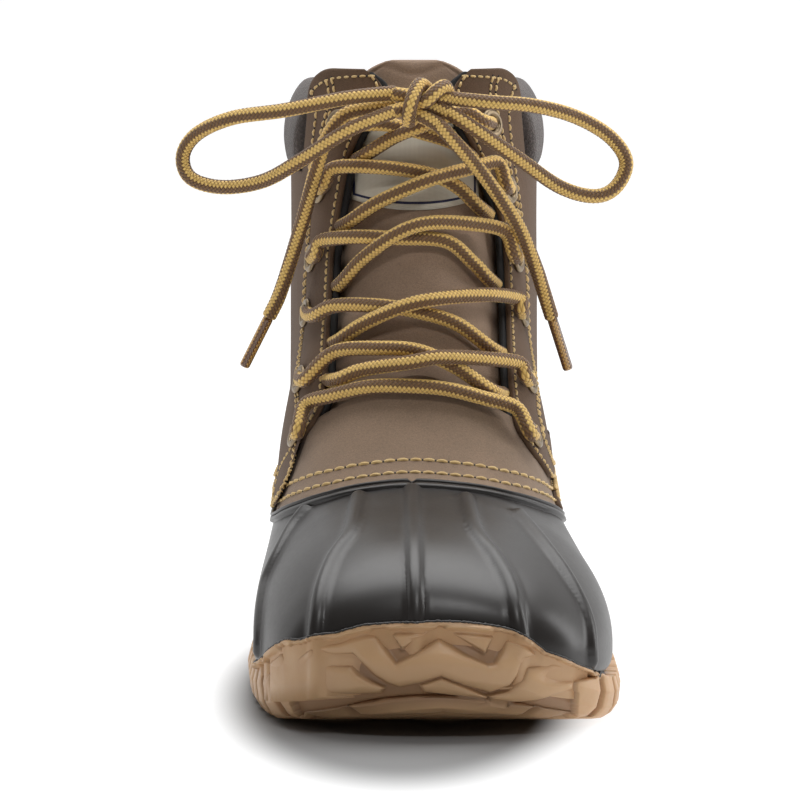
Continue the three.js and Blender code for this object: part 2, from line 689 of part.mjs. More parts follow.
// Eyelets: a rolled ring with a barrel through the leather.
const barrelDepth = quarterStep + leather - 0.2;
const eyeletSeat = 0.45;
const eyeletProfile = [
  [eyeletBore, -barrelDepth], [eyeletBarrel, -barrelDepth], [eyeletBarrel, eyeletSeat],
  [eyeletRadius, eyeletSeat], [eyeletRadius - 0.5, eyeletSeat + eyeletLip], [eyeletBore, eyeletSeat + eyeletLip],
  [eyeletBore, -barrelDepth],
];

// The lace. Each strand leaves under one eyestay's edge and ends over the opposite eyelet: its points are
// millimetres across and up, as seen from the front, with the lift of its middle off the last.
const laceOver = quarterStep + eyeletSeat + eyeletLip + laceRadius + 0.3;
const onLast = ([x, z, lift]) => onFront(x, z, lift).point;
const crossingRows = [
  {
    toOuter: [[17.4, 83.8, 2.8], [7.4, 90.4, 2.8], [-3.8, 95.2, 2.8], [-15.5, 95.9, 2.8], [-28.6, 94.1, 3.8]],
    toInner: [[-27.4, 86.8, 2.8], [-20.2, 90, 3.8], [-6.4, 92.7, 6.8], [2.6, 94, 6.8], [16.6, 92.6, 4.8],
      [25.9, 90.4, 5.1]],
  },
  {
    toOuter: [[17.6, 94.6, -0.4], [7.5, 102.1, -0.4], [-3.7, 105.6, -0.4], [-15.6, 107.3, 0.6], [-28.7, 106.7, 3.7]],
    toInner: [[-27.6, 96.6, -0.4], [-20.3, 102, 0.6], [-8.2, 107.8, 3.6], [2.8, 109.9, 3.6], [16.9, 109.9, 3.2],
      [26.4, 107.6, 5.1]],
  },
  {
    toOuter: [[17, 113.9, -0.4], [12.2, 119.1, -0.4], [4.1, 125.5, -0.4], [-11.2, 126.5, 0.4], [-23.1, 126.5, 3],
      [-32.8, 124.7, 5.1]],
    toInner: [[-26.6, 112.9, -0.4], [-20.4, 120.2, 0.6], [-10.3, 128, 3.6], [-0.7, 131.1, 3.6], [12.2, 130.3, 3],
      [21.9, 127.7, 5.1]],
  },
  {
    toOuter: [[14.2, 135, 0.6], [7.8, 141, 0.6], [-0.7, 144.9, 0.6], [-15.7, 146.9, 1.8], [-29, 146.3, 5.1]],
    toInner: [[-24.8, 130.3, 0.6], [-15.7, 136.8, 1.6], [-1.6, 143.2, 4.6], [12.3, 146.6, 4.2], [19.9, 147.7, 5.1]],
  },
  {
    toOuter: [[10.8, 150.6, 0.6], [6.9, 153.8, 0.6], [-1.5, 156.6, 0.6], [-13.4, 159.5, 3.2]],
    toInner: [[-19.8, 150.2, 0.6], [-11.2, 155.7, 1.6], [-3.7, 158.9, 4.6], [8.8, 163.2, 4.8]],
  },
];
const barRow = [[-37.1, 79.2, 5.1], [-29.3, 82.3, 3.4], [-18.1, 85.3, 2.8], [-6.7, 85.7, 2.8], [4.4, 84.8, 2.8],
  [15.5, 81.9, 3.4], [24.7, 78.7, 5.1]];
const laceSteps = 7;
const eyeletEnd = (side, row) => {
  const e = eyelets.find((one) => one.side === side && one.row === row);
  return onLast([e.point.x, e.point.z, laceOver]);
};
const crossings = crossingRows.map((rows, row) => {
  const outerStrand = tube([...rows.toOuter.map(onLast), eyeletEnd(-1, row + 1)], laceRadius, laceSteps);
  const innerStrand = tube([...rows.toInner.map(onLast), eyeletEnd(1, row + 1)], laceRadius, laceSteps);
  return { name: `lace_crossing_${row + 1}`, shape: outerStrand.add(innerStrand) };
});
const bar = tube([eyeletEnd(-1, 0), ...barRow.map(onLast), eyeletEnd(1, 0)], laceRadius, laceSteps + 3);

// The bow, in millimetres of the boot's own frame. Its loops and tails start at the knot's faces.
const loopRows = {
  outer: [[-10.6, -2.2, 169.6], [-25.1, -6, 168.2], [-43.7, -3, 164.4], [-59.7, 3, 161.7], [-70.5, 9, 156.6],
    [-74.9, 11, 149.8], [-72.5, 10, 143.2], [-63, 7, 140.7], [-50.5, 2, 142.9], [-38.9, -5, 149.6],
    [-25.1, -9, 158.5], [-11.4, -6, 164.2]],
  inner: [[4.4, -2.2, 168], [16.8, -5, 166.9], [31, -1, 165.5], [43.5, 5, 161.9], [54, 10, 155.6], [59, 12, 147.9],
    [55.9, 11, 140.4], [49.2, 9, 137.8], [38.8, 6, 140.8], [26.3, 0, 149.6], [12.1, -6, 159.5], [4, -4, 164.4]],
};
const tailRows = {
  outer: [[-10.9, 2.5, 166.3], [-17.7, 1, 165.2], [-26.1, 1.5, 162.7], [-31.6, 5, 155], [-34.7, 6, 145.5],
    [-38.4, 9.5, 131.9], [-42.4, 13, 118.4], [-46.2, 15, 106.9], [-49.3, 16, 100.4]],
  inner: [[2, -8, 160.6], [6.2, -8, 156], [13.2, -5, 148], [19.7, -1.8, 139.3], [26.5, 3.8, 128.7], [31.5, 9.5, 116.8],
    [34.4, 13, 108], [36.9, 15, 100.2]],
};
const knotBarrel = [[-9.7, -2, 168], [-3.4, -3, 167.2], [3.8, -2.4, 166.6]];
const knotWrap = [[-5.6, 3.6, 161.5], [-6.6, -5, 161.6], [-5.6, -8, 167.4], [-3.6, -4, 172], [-1.6, 1.6, 170.4]];
const knotUnder = [[-5.2, -2.4, 164.4], [-0.6, -4.6, 162.6], [1.6, -6.4, 161.2]];
const points = (rows) => rows.map((row) => new THREE.Vector3(...row));
const barrelRadius = 1.35 * laceRadius;
const knot = tube(points(knotBarrel), barrelRadius, 4)
  .add(tube(points(knotWrap), laceRadius, 8))
  .add(tube(points(knotUnder), laceRadius, 3));
const agletOf = (rows) => {
  const [before, tip] = points(rows.slice(-2));
  const way = tip.clone().sub(before).normalize();
  const start = tip.clone().addScaledVector(way, seam);
  return tube([start, start.clone().addScaledVector(way, agletLength)], agletRadius, 2);
};
const loopOf = (rows) => tube(points(rows), laceRadius, 20).subtract(knot);
const tailOf = (rows) => tube(points(rows), laceRadius, 10).subtract(knot);

// The group of named meshes.
const boot = new THREE.Group();
function add(name, shape, material) {
  const mesh = new THREE.Mesh(geometryOf(shape), material);
  mesh.name = name;
  boot.add(mesh);
}
const gum = new THREE.MeshStandardMaterial({ color: 0xbd9874, roughness: 0.6, metalness: 0 });
const rubber = new THREE.MeshStandardMaterial({ color: 0x38322f, roughness: 0.42, metalness: 0 });
const nubuck = new THREE.MeshStandardMaterial({ color: 0x7a6759, roughness: 0.85, metalness: 0 });
const suede = new THREE.MeshStandardMaterial({ color: 0x5c5350, roughness: 0.95, metalness: 0 });
const lining = new THREE.MeshStandardMaterial({ color: 0x9a9082, roughness: 0.95, metalness: 0 });
const weave = new THREE.MeshStandardMaterial({ color: 0xddd8ca, roughness: 0.8, metalness: 0 });
const brass = new THREE.MeshStandardMaterial({ color: 0xb7a98c, roughness: 0.35, metalness: 1 });
const cord = new THREE.MeshStandardMaterial({ color: 0xb98c45, roughness: 0.75, metalness: 0 });

add("outsole", outsole, gum);
add("shell", shell, rubber);
add("upper", upper, nubuck);
add("collar", collarPad(), suede);
add("tongue", tongue, nubuck);
add("tongue_label", label, weave);
add("insole", insole, lining);
for (const e of eyelets) add(e.name, turned(eyeletProfile, eyeletSides, e.point, e.normal), brass);
add("lace_bar", bar, cord);
for (const { name, shape } of crossings) add(name, shape, cord);
add("lace_knot", knot, cord);
for (const side of ["outer", "inner"]) {
  add(`lace_loop_${side}`, loopOf(loopRows[side]), cord);
  add(`lace_tail_${side}`, tailOf(tailRows[side]), cord);
  add(`lace_aglet_${side}`, agletOf(tailRows[side]), cord);
}

export default boot;
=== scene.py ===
# %% [markdown]
# # A duck boot
# A rubber shell keeps the foot dry, a leather shaft is stitched to its rim, and a round lace closes the throat.
# Everything is made around one idea: a last, the foot-shaped form that a shoemaker builds on. Each piece below
# is a patch of that last, moved in or out by a wall's thickness, so the pieces fit each other by themselves.

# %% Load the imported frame
import math
import bpy
import numpy as np
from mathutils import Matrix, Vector
from mathutils.bvhtree import BVHTree


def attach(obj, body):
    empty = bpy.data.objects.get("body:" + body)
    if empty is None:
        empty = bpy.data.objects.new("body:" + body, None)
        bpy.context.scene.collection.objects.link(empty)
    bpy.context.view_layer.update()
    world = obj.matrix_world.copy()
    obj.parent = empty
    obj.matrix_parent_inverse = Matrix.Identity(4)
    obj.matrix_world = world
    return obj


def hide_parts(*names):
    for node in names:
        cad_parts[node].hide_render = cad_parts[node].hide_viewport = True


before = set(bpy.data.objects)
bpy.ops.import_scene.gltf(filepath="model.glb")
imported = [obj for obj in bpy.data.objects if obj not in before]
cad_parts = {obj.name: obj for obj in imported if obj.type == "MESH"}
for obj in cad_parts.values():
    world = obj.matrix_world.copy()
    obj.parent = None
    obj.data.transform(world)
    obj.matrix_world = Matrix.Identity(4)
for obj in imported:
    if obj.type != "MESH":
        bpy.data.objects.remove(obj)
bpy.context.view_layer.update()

MM = 0.001
rng = np.random.default_rng(7)
print("nodes in the frame:", len(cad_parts))

# %% [markdown]
# ## Camera
# The boot is seen straight from the toe, from a little above, with a long lens. A long lens keeps the toe from
# swelling, so the camera stands well back and the shift stays at nothing.

# %% Camera
CAMERA_TARGET = (-9.36, 0.0, 76.9)
CAMERA_DISTANCE = 1293.6
CAMERA_RISE = math.radians(7)
LENS_MM = 193.05

camera_data = bpy.data.cameras.new("camera")
camera_data.sensor_fit = "HORIZONTAL"
camera_data.sensor_width = 36
camera_data.lens = LENS_MM
camera_data.clip_end = 20
camera = bpy.data.objects.new("camera", camera_data)
camera.location = Vector((CAMERA_TARGET[0], CAMERA_TARGET[1] - CAMERA_DISTANCE * math.cos(CAMERA_RISE),
                          CAMERA_TARGET[2] + CAMERA_DISTANCE * math.sin(CAMERA_RISE))) * MM
camera.rotation_euler = (math.radians(90) - CAMERA_RISE, 0, 0)
bpy.context.scene.collection.objects.link(camera)
bpy.context.scene.camera = camera
bpy.context.scene.view_settings.view_transform = "Standard"
print("camera at", [round(v, 3) for v in camera.location])

# %% [markdown]
# ## The last
# The last is a row of sections, fanned from upright at the toe to level at the collar. Each is a superellipse:
# one number says how square it is. A smooth curve runs through each column, so any point of the skin comes from
# two numbers: how many sections from the toe, and the angle round from the crest to the inner side.

# %% The last's sizes and sections
SOLE, BALL, INSTEP, SHAFT, HEEL = 278.0, 104.0, 90.0, 89.0, 12.0
# topBack, topUp, topRise, lowBack, lowUp, lowRise, ridge, outer, inner, widest, crown, base
SECTIONS = np.array([
    [0.0108, 0.322, 0, 0.0108, 0.267, 0, 0, 0, 0, 0.5, 2, 2],
    [0.0165, 0.394, 0, 0.0144, 0.2, 0, -0.019, 0.183, 0.221, 0.45, 2, 2.4],
    [0.0306, 0.456, 0, 0.0252, 0.15, 0, -0.038, 0.279, 0.346, 0.38, 2, 3],
    [0.0558, 0.508, 0, 0.0504, 0.128, 0, -0.053, 0.341, 0.435, 0.3, 2, 4],
    [0.0971, 0.559, 0, 0.0935, 0.111, 0, -0.058, 0.385, 0.5, 0.24, 2, 4.5],
    [0.1547, 0.604, 0, 0.1547, 0.1, 0, -0.058, 0.418, 0.538, 0.2, 2.1, 4.5],
    [0.2194, 0.647, 0, 0.2302, 0.1, 0, -0.058, 0.435, 0.548, 0.17, 2.15, 4.5],
    [0.2842, 0.7, 0, 0.3237, 0.1, 0, -0.058, 0.438, 0.519, 0.16, 2.2, 4.5],
    [0.3345, 0.811, 0, 0.4281, 0.106, 0, -0.054, 0.424, 0.462, 0.18, 2.3, 4.5],
    [0.3813, 0.978, 0, 0.5468, 0.117, 0, -0.05, 0.405, 0.415, 0.25, 2.3, 5],
    [0.4209, 1, 0.157, 0.7122, 0.133, 0, -0.048, 0.396, 0.399, 0.36, 2.3, 5],
    [0.4568, 1, 0.326, 0.9065, 0.139, 0, -0.048, 0.37, 0.37, 0.46, 2.3, 4],
    [0.4892, 1, 0.494, 0.9784, 0.222, 0, -0.048, 0.367, 0.367, 0.5, 2.3, 2.6],
    [0.518, 1, 0.652, 0.982, 0.533, 0, -0.048, 0.367, 0.367, 0.5, 2.3, 2.4],
    [0.5396, 1, 0.792, 0.9676, 0.978, 0, -0.048, 0.365, 0.365, 0.5, 2.3, 2.4],
    [0.5594, 1, 0.921, 0.9424, 1, 0.472, -0.048, 0.367, 0.367, 0.5, 2.3, 2.4],
    [0.5791, 1, 1.09, 0.9388, 1, 1.056, -0.048, 0.375, 0.375, 0.5, 2.3, 2.4],
])
LAST_U = len(SECTIONS) - 1
RIDGE_X = -0.048 * BALL
NUDGE = 0.01


def smooth_rows(table, u):
    """A smooth curve through evenly numbered rows."""
    u = np.clip(np.asarray(u, float), 0, len(table) - 1)
    i = np.minimum(u.astype(int), len(table) - 2)
    t = (u - i)[..., None]
    rows = np.vstack([2 * table[0] - table[1], table, 2 * table[-1] - table[-2]])
    p0, p1, p2, p3 = rows[i], rows[i + 1], rows[i + 2], rows[i + 3]
    bend = 2 * p0 - 5 * p1 + 4 * p2 - p3
    return 0.5 * (2 * p1 + (p2 - p0) * t + bend * t ** 2 + (3 * p1 - p0 - 3 * p2 + p3) * t ** 3)


def skin(u, angle):
    """Points of the last's skin, in millimetres."""
    u, angle = np.broadcast_arrays(np.asarray(u, float), np.asarray(angle, float))
    (top_back, top_up, top_rise, low_back, low_up, low_rise,
     ridge, outer, inner, widest, crown, base) = np.moveaxis(smooth_rows(SECTIONS, u), -1, 0)
    c, d = np.cos(angle), np.sin(angle)
    square = np.where(c >= 0, crown, base)
    radius = (np.abs(c) ** square + np.abs(d) ** square) ** (-1 / square)
    v = widest + np.where(c >= 0, 1 - widest, widest) * radius * c
    x = BALL * (ridge + np.where(d >= 0, inner, outer) * radius * d)
    low_y, top_y = (low_back - 0.5) * SOLE, (top_back - 0.5) * SOLE
    low_z, top_z = low_up * INSTEP + low_rise * SHAFT, top_up * INSTEP + top_rise * SHAFT
    return np.stack([x, low_y + (top_y - low_y) * v, low_z + (top_z - low_z) * v], -1)


def unit(v):
    return v / np.maximum(np.linalg.norm(v, axis=-1, keepdims=True), 1e-9)


def outward(u, angle):
    along_u = skin(np.minimum(u + NUDGE, LAST_U), angle) - skin(np.maximum(u - NUDGE, 0), angle)
    along_a = skin(u, angle + NUDGE) - skin(u, angle - NUDGE)
    return unit(np.cross(along_a, along_u))


def shifted(u, angle, distance):
    """The skin moved out by a distance, or in where it is negative."""
    u, angle = np.broadcast_arrays(np.asarray(u, float), np.asarray(angle, float))
    return skin(u, angle) + np.asarray(distance, float)[..., None] * outward(u, angle)


seed_u, seed_a = np.meshgrid(np.linspace(0.3, LAST_U, 90), np.linspace(-2.3, 2.3, 121), indexing="ij")


def on_front(x, z, distance=0.0):
    """Section number and angle of the front skin's points that show at x and z from the front."""
    x, z = np.atleast_1d(np.asarray(x, float)), np.atleast_1d(np.asarray(z, float))
    distance = np.broadcast_to(np.asarray(distance, float), x.shape)
    seeds = skin(seed_u, seed_a)
    miss = (np.hypot(seeds[None, ..., 0] - x[:, None, None], seeds[None, ..., 2] - z[:, None, None])
            + np.maximum(0, seeds[None, ..., 1] + SOLE / 2) * 0.02)
    flat = miss.reshape(len(x), -1).argmin(1)
    u, a = seed_u.ravel()[flat], seed_a.ravel()[flat]
    for _ in range(14):
        p = shifted(u, a, distance)
        pu = (shifted(u + NUDGE, a, distance) - p) / NUDGE
        pa = (shifted(u, a + NUDGE, distance) - p) / NUDGE
        det = pu[:, 0] * pa[:, 2] - pa[:, 0] * pu[:, 2]
        det = np.where(np.abs(det) < 1e-6, 1e-6, det)
        du = ((x - p[:, 0]) * pa[:, 2] - pa[:, 0] * (z - p[:, 2])) / det
        da = (pu[:, 0] * (z - p[:, 2]) - (x - p[:, 0]) * pu[:, 2]) / det
        u = np.clip(u + np.clip(du, -0.5, 0.5), 0.05, LAST_U - NUDGE)
        a = a + np.clip(da, -0.2, 0.2)
    return u, a


def section_at_height(angle, z, low=8.0):
    """The section number at which the skin reaches a height, at an angle round the shaft."""
    angle, z = np.broadcast_arrays(np.asarray(angle, float), np.asarray(z, float))
    lo, hi = np.full(angle.shape, low), np.full(angle.shape, float(LAST_U))
    for _ in range(30):
        middle = (lo + hi) / 2
        under = skin(middle, angle)[..., 2] < z
        lo, hi = np.where(under, middle, lo), np.where(under, hi, middle)
    return (lo + hi) / 2


def curve_through(points, count, closed=False):
    """Evenly spaced points on a smooth curve through a few points of any number of columns."""
    points = np.asarray(points, float)
    if closed:
        points = np.vstack([points, points[:1]])
    fine = smooth_rows(points, np.linspace(0, len(points) - 1, 24 * len(points)))
    run = np.concatenate([[0], np.cumsum(np.linalg.norm(np.diff(fine[:, :3], axis=0), axis=1))])
    at = np.linspace(0, run[-1], count)
    return np.stack([np.interp(at, run, fine[:, k]) for k in range(fine.shape[1])], -1)


print("last, length of the crest:", round(float(np.linalg.norm(np.diff(skin(np.linspace(0, 16, 200), 0.0), axis=0),
                                                            axis=1).sum())), "mm")

# %% [markdown]
# ## Making meshes
# Most pieces are grids: rows and columns of points on the last. A wall is two such grids, an outer and an inner
# one, joined along their edges. These helpers turn grids into closed meshes whose faces point outwards, and put
# every object at the origin with its place in its mesh.

# %% Mesh helpers
def new_object(name, data):
    made = bpy.data.objects.new(name, data)
    bpy.context.scene.collection.objects.link(made)
    return made


def mesh_from(name, points, faces, uv=None):
    mesh = bpy.data.meshes.new(name)
    mesh.from_pydata((np.asarray(points, float) * MM).tolist(), [], [tuple(f) for f in faces])
    if uv is not None:
        layer = mesh.uv_layers.new(name="UVMap")
        loops = np.zeros(len(mesh.loops), int)
        mesh.loops.foreach_get("vertex_index", loops)
        layer.data.foreach_set("uv", np.asarray(uv, float)[loops].ravel())
    mesh.shade_smooth()
    return mesh


def finish_piece(name, mesh, material, nodes=()):
    """Puts a mesh in the scene with its material, and hides the imported parts that it stands for."""
    piece = new_object(name, mesh)
    mesh.materials.clear()
    mesh.materials.append(material)
    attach(piece, "root")
    if nodes:
        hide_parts(*nodes)
    mesh.calc_loop_triangles()
    print(f"{name}: {len(mesh.loop_triangles)} triangles")
    return piece


def grid_faces(rows, columns, closed=False, start=0, flip=False, keep=None):
    """Quads over a grid of rows x columns points, or only over the cells of a mask."""
    j, i = np.meshgrid(np.arange(rows - 1), np.arange(columns if closed else columns - 1), indexing="ij")
    nxt = (i + 1) % columns
    quad = np.stack([j * columns + i, j * columns + nxt, (j + 1) * columns + nxt, (j + 1) * columns + i], -1)
    quad = quad[keep] if keep is not None else quad.reshape(-1, 4)
    if flip:
        quad = quad[:, ::-1]
    return quad + start


def wall_mesh(name, outer, inner, keep=None, uv=None):
    """A closed wall between two grids of the same shape, over the cells that a mask keeps."""
    rows, columns = outer.shape[:2]
    count = rows * columns
    if keep is None:
        keep = np.ones((rows - 1, columns - 1), bool)
    top = grid_faces(rows, columns, keep=keep)
    low = grid_faces(rows, columns, keep=keep, start=count, flip=True)
    edges = {}
    for quad in top.tolist():
        for a, b in zip(quad, quad[1:] + quad[:1]):
            edges[(a, b)] = True
    sides = [(b, a, a + count, b + count) for (a, b) in edges if (b, a) not in edges]
    points = np.concatenate([outer.reshape(-1, 3), inner.reshape(-1, 3)])
    faces = top.tolist() + low.tolist() + sides
    used = np.unique([k for face in faces for k in face])
    place = -np.ones(2 * count, int)
    place[used] = np.arange(len(used))
    faces = [tuple(place[list(face)]) for face in faces]
    if uv is not None:
        uv = np.concatenate([uv.reshape(-1, 2)] * 2)[used]
    return mesh_from(name, points[used], faces, uv)


def tube_mesh(name, runs, radius, sides, spacing, twist=0.0, relief=0.0, cells=9, pitch=1.3, cap=0.45):
    """Round cords along smooth runs of points, with a UV map: once round, and millimetres along."""
    points, faces, uvs = [], [], []
    start = 0
    for number, run in enumerate(runs):
        line = curve_through(run, 400)
        length = np.linalg.norm(np.diff(line, axis=0), axis=1).sum()
        count = max(6, int(length / spacing))
        line = curve_through(run, count)
        ahead = unit(np.gradient(line, axis=0))
        side = unit(np.cross(ahead[0], [0.3, 0.5, 0.8]))
        sides_at = [side]
        for k in range(1, count):
            side = side - ahead[k] * np.dot(side, ahead[k])
            side = side / np.linalg.norm(side)
            sides_at.append(side)
        side = np.array(sides_at)
        over = np.cross(ahead, side)
        at = np.linspace(0, length, count)
        turn = (np.arange(sides) / sides)[None, :]
        angle = 2 * np.pi * (turn + twist * at[:, None] / 100 + 0.37 * number)
        p, q = turn * cells + at[:, None] / pitch, turn * cells - at[:, None] / pitch
        lobes = np.abs(np.sin(np.pi * p) * np.sin(np.pi * q)) ** 0.5
        ends = np.minimum(1, (np.minimum(at, length - at) / (cap * radius) + 0.55)[:, None])
        r = (radius - relief + relief * lobes) * np.sqrt(1 - (1 - ends) ** 2)
        ring = (line[:, None] + r[..., None] * (np.cos(angle)[..., None] * side[:, None]
                                                + np.sin(angle)[..., None] * over[:, None]))
        points.append(ring.reshape(-1, 3))
        faces += grid_faces(count, sides, closed=True, start=start).tolist()
        faces.append(tuple(start + k for k in range(sides))[::-1])
        faces.append(tuple(start + (count - 1) * sides + k for k in range(sides)))
        j, i = (v.ravel() for v in np.meshgrid(np.arange(count - 1), np.arange(sides), indexing="ij"))
        corners = [np.stack([i + right, np.broadcast_to(at[j + up], i.shape)], -1)
                   for right, up in ((0, 0), (1, 0), (1, 1), (0, 1))]
        uvs.append(np.stack(corners, 1).reshape(-1, 2) / [sides, 1])
        uvs.append(np.column_stack([np.tile(np.arange(sides) / sides, 2), np.repeat([0, length], sides)]))
        start += count * sides
    mesh = mesh_from(name, np.concatenate(points), faces)
    mesh.uv_layers.new(name="UVMap").data.foreach_set("uv", np.concatenate(uvs).ravel())
    return mesh


def weld(mesh, distance=0.00001):
    """Merges doubled points and turns every face outwards."""
    import bmesh
    work = bmesh.new()
    work.from_mesh(mesh)
    bmesh.ops.remove_doubles(work, verts=work.verts, dist=distance)
    bmesh.ops.recalc_face_normals(work, faces=work.faces)
    work.to_mesh(mesh)
    work.free()
    mesh.shade_smooth()
    return mesh


# %% [markdown]
# ## Finishes
# Real leather, rubber and cord are never one flat colour. Two shader groups carry what the finishes share: soft
# patches of lighter and darker colour, and a fine grain that gives both a mask and a height. Each finish places
# them with its own sizes, and keeps its constants on the shader itself.

# %% Shader groups
def group_tree(name, inputs, outputs):
    tree = bpy.data.node_groups.new(name, "ShaderNodeTree")
    for label, kind, value in inputs:
        socket = tree.interface.new_socket(label, in_out="INPUT", socket_type=kind)
        if value is not None:
            socket.default_value = value
    for label, kind in outputs:
        tree.interface.new_socket(label, in_out="OUTPUT", socket_type=kind)
    return tree, tree.nodes.new("NodeGroupInput"), tree.nodes.new("NodeGroupOutput")


def node(tree, kind, links=(), **values):
    made = tree.nodes.new(kind)
    for key, value in values.items():
        setattr(made, key, value)
    for key, value in links:
        socket = made.inputs[key]
        if isinstance(value, bpy.types.NodeSocket):
            tree.links.new(value, socket)
        else:
            socket.default_value = value
    return made


def patches_group():
    """Soft patches of two colours, from one noise in another."""
    tree, given, out = group_tree("patches", [("Vector", "NodeSocketVector", None), ("Scale", "NodeSocketFloat", 40.0),
                                              ("Contrast", "NodeSocketFloat", 1.0),
                                              ("Light", "NodeSocketColor", None), ("Dark", "NodeSocketColor", None)],
                                  [("Color", "NodeSocketColor"), ("Mask", "NodeSocketFloat")])
    noise = node(tree, "ShaderNodeTexNoise", [("Vector", given.outputs["Vector"]), ("Scale", given.outputs["Scale"]),
                                              ("Detail", 6.0), ("Roughness", 0.62), ("Distortion", 0.4)])
    centred = node(tree, "ShaderNodeMath", [(0, noise.outputs["Fac"]), (1, 0.5)], operation="SUBTRACT")
    spread = node(tree, "ShaderNodeMath", [(0, centred.outputs[0]), (1, given.outputs["Contrast"]), (2, 0.5)],
                  operation="MULTIPLY_ADD", use_clamp=True)
    mix = node(tree, "ShaderNodeMix", [(0, spread.outputs[0]), (6, given.outputs["Dark"]),
                                       (7, given.outputs["Light"])], data_type="RGBA")
    tree.links.new(mix.outputs[2], out.inputs["Color"])
    tree.links.new(spread.outputs[0], out.inputs["Mask"])
    return tree


def grain_group():
    """Fine pebbled grain: cells with soft walls, broken up by noise."""
    tree, given, out = group_tree("grain", [("Vector", "NodeSocketVector", None), ("Scale", "NodeSocketFloat", 900.0),
                                            ("Fuzz", "NodeSocketFloat", 2600.0), ("Pebble", "NodeSocketFloat", 0.5)],
                                  [("Height", "NodeSocketFloat")])
    cells = node(tree, "ShaderNodeTexVoronoi", [("Vector", given.outputs["Vector"]),
                                                ("Scale", given.outputs["Scale"]), ("Smoothness", 0.6)],
                 feature="SMOOTH_F1")
    fuzz = node(tree, "ShaderNodeTexNoise", [("Vector", given.outputs["Vector"]), ("Scale", given.outputs["Fuzz"]),
                                             ("Detail", 3.0)])
    pebble = node(tree, "ShaderNodeMath", [(0, cells.outputs["Distance"]), (1, given.outputs["Pebble"])],
                  operation="MULTIPLY")
    height = node(tree, "ShaderNodeMath", [(0, fuzz.outputs["Fac"]), (1, pebble.outputs[0])], operation="SUBTRACT")
    tree.links.new(height.outputs[0], out.inputs["Height"])
    return tree


PATCHES = patches_group()
GRAIN = grain_group()


def linear(*rgb):
    """A colour seen on a screen, 0 to 255, as the light that the renderer counts in."""
    return tuple((c / 255 / 12.92) if c / 255 <= 0.04045 else ((c / 255 + 0.055) / 1.055) ** 2.4 for c in rgb) + (1.0,)


def finish(name, light, dark, roughness, patch=30.0, contrast=1.6, grain=900.0, fuzz=2600.0, pebble=0.5,
           bump=0.2, depth=0.0004, spread=0.08, fleck=0.0, groove_tone_and_shade=None, **shader):
    """A finish with patches of colour, grain in its gloss and relief. Constants sit on the shader."""
    material = bpy.data.materials.new(name)
    material.use_nodes = True
    tree = material.node_tree
    shade = tree.nodes["Principled BSDF"]
    place = node(tree, "ShaderNodeTexCoord").outputs["Object"]
    patches = node(tree, "ShaderNodeGroup", node_tree=PATCHES)
    tree.links.new(place, patches.inputs["Vector"])
    patches.inputs["Scale"].default_value = patch
    patches.inputs["Contrast"].default_value = contrast
    patches.inputs["Light"].default_value = light
    patches.inputs["Dark"].default_value = dark
    grains = node(tree, "ShaderNodeGroup", node_tree=GRAIN)
    tree.links.new(place, grains.inputs["Vector"])
    grains.inputs["Scale"].default_value = grain
    grains.inputs["Fuzz"].default_value = fuzz
    grains.inputs["Pebble"].default_value = pebble
    rough = node(tree, "ShaderNodeMapRange", [(0, grains.outputs["Height"]), (1, 0.0), (2, 0.7),
                                              (3, roughness - spread), (4, roughness + spread)])
    raised = node(tree, "ShaderNodeBump", [("Strength", bump), ("Distance", depth),
                                           ("Height", grains.outputs["Height"])])
    value = node(tree, "ShaderNodeMapRange", [(0, grains.outputs["Height"]), (1, 0.0), (2, 0.7), (3, 1 - fleck),
                                              (4, 1 + fleck)])
    colour = node(tree, "ShaderNodeHueSaturation", [("Value", value.outputs[0]), ("Color", patches.outputs["Color"])])
    colour = colour.outputs[0]
    # Darker colour in the grooves, by the groove attribute: partly the rubber's own tone, partly painted shade.
    if groove_tone_and_shade:
        groove = node(tree, "ShaderNodeAttribute", attribute_name="groove")
        mixed = node(tree, "ShaderNodeMix", [(0, groove.outputs["Fac"]), (6, colour), (7, groove_tone_and_shade)], data_type="RGBA")
        colour = mixed.outputs[2]
    tree.links.new(colour, shade.inputs["Base Color"])
    tree.links.new(rough.outputs[0], shade.inputs["Roughness"])
    tree.links.new(raised.outputs[0], shade.inputs["Normal"])
    for key, value in shader.items():
        shade.inputs[key.replace("_", " ")].default_value = value
    return material


NUBUCK = finish("nubuck", linear(140, 117, 96), linear(112, 92, 73), 0.85, patch=26, contrast=1.6, grain=1500,
                fuzz=3600, pebble=0.25, bump=0.4, depth=0.0003, fleck=0.3, Sheen_Weight=0.12, Sheen_Roughness=0.5)
# A lighter copy of the nubuck, used on the tongue: partly its own tone, partly painted light.
TONGUE_TONE_AND_LIGHT = finish("nubuck_tongue_tone_and_light", linear(158, 133, 112), linear(130, 107, 87), 0.85, patch=26, contrast=1.6,
                     grain=1500, fuzz=3600, pebble=0.25, bump=0.4, depth=0.0003, fleck=0.3, Sheen_Weight=0.12,
                     Sheen_Roughness=0.5)
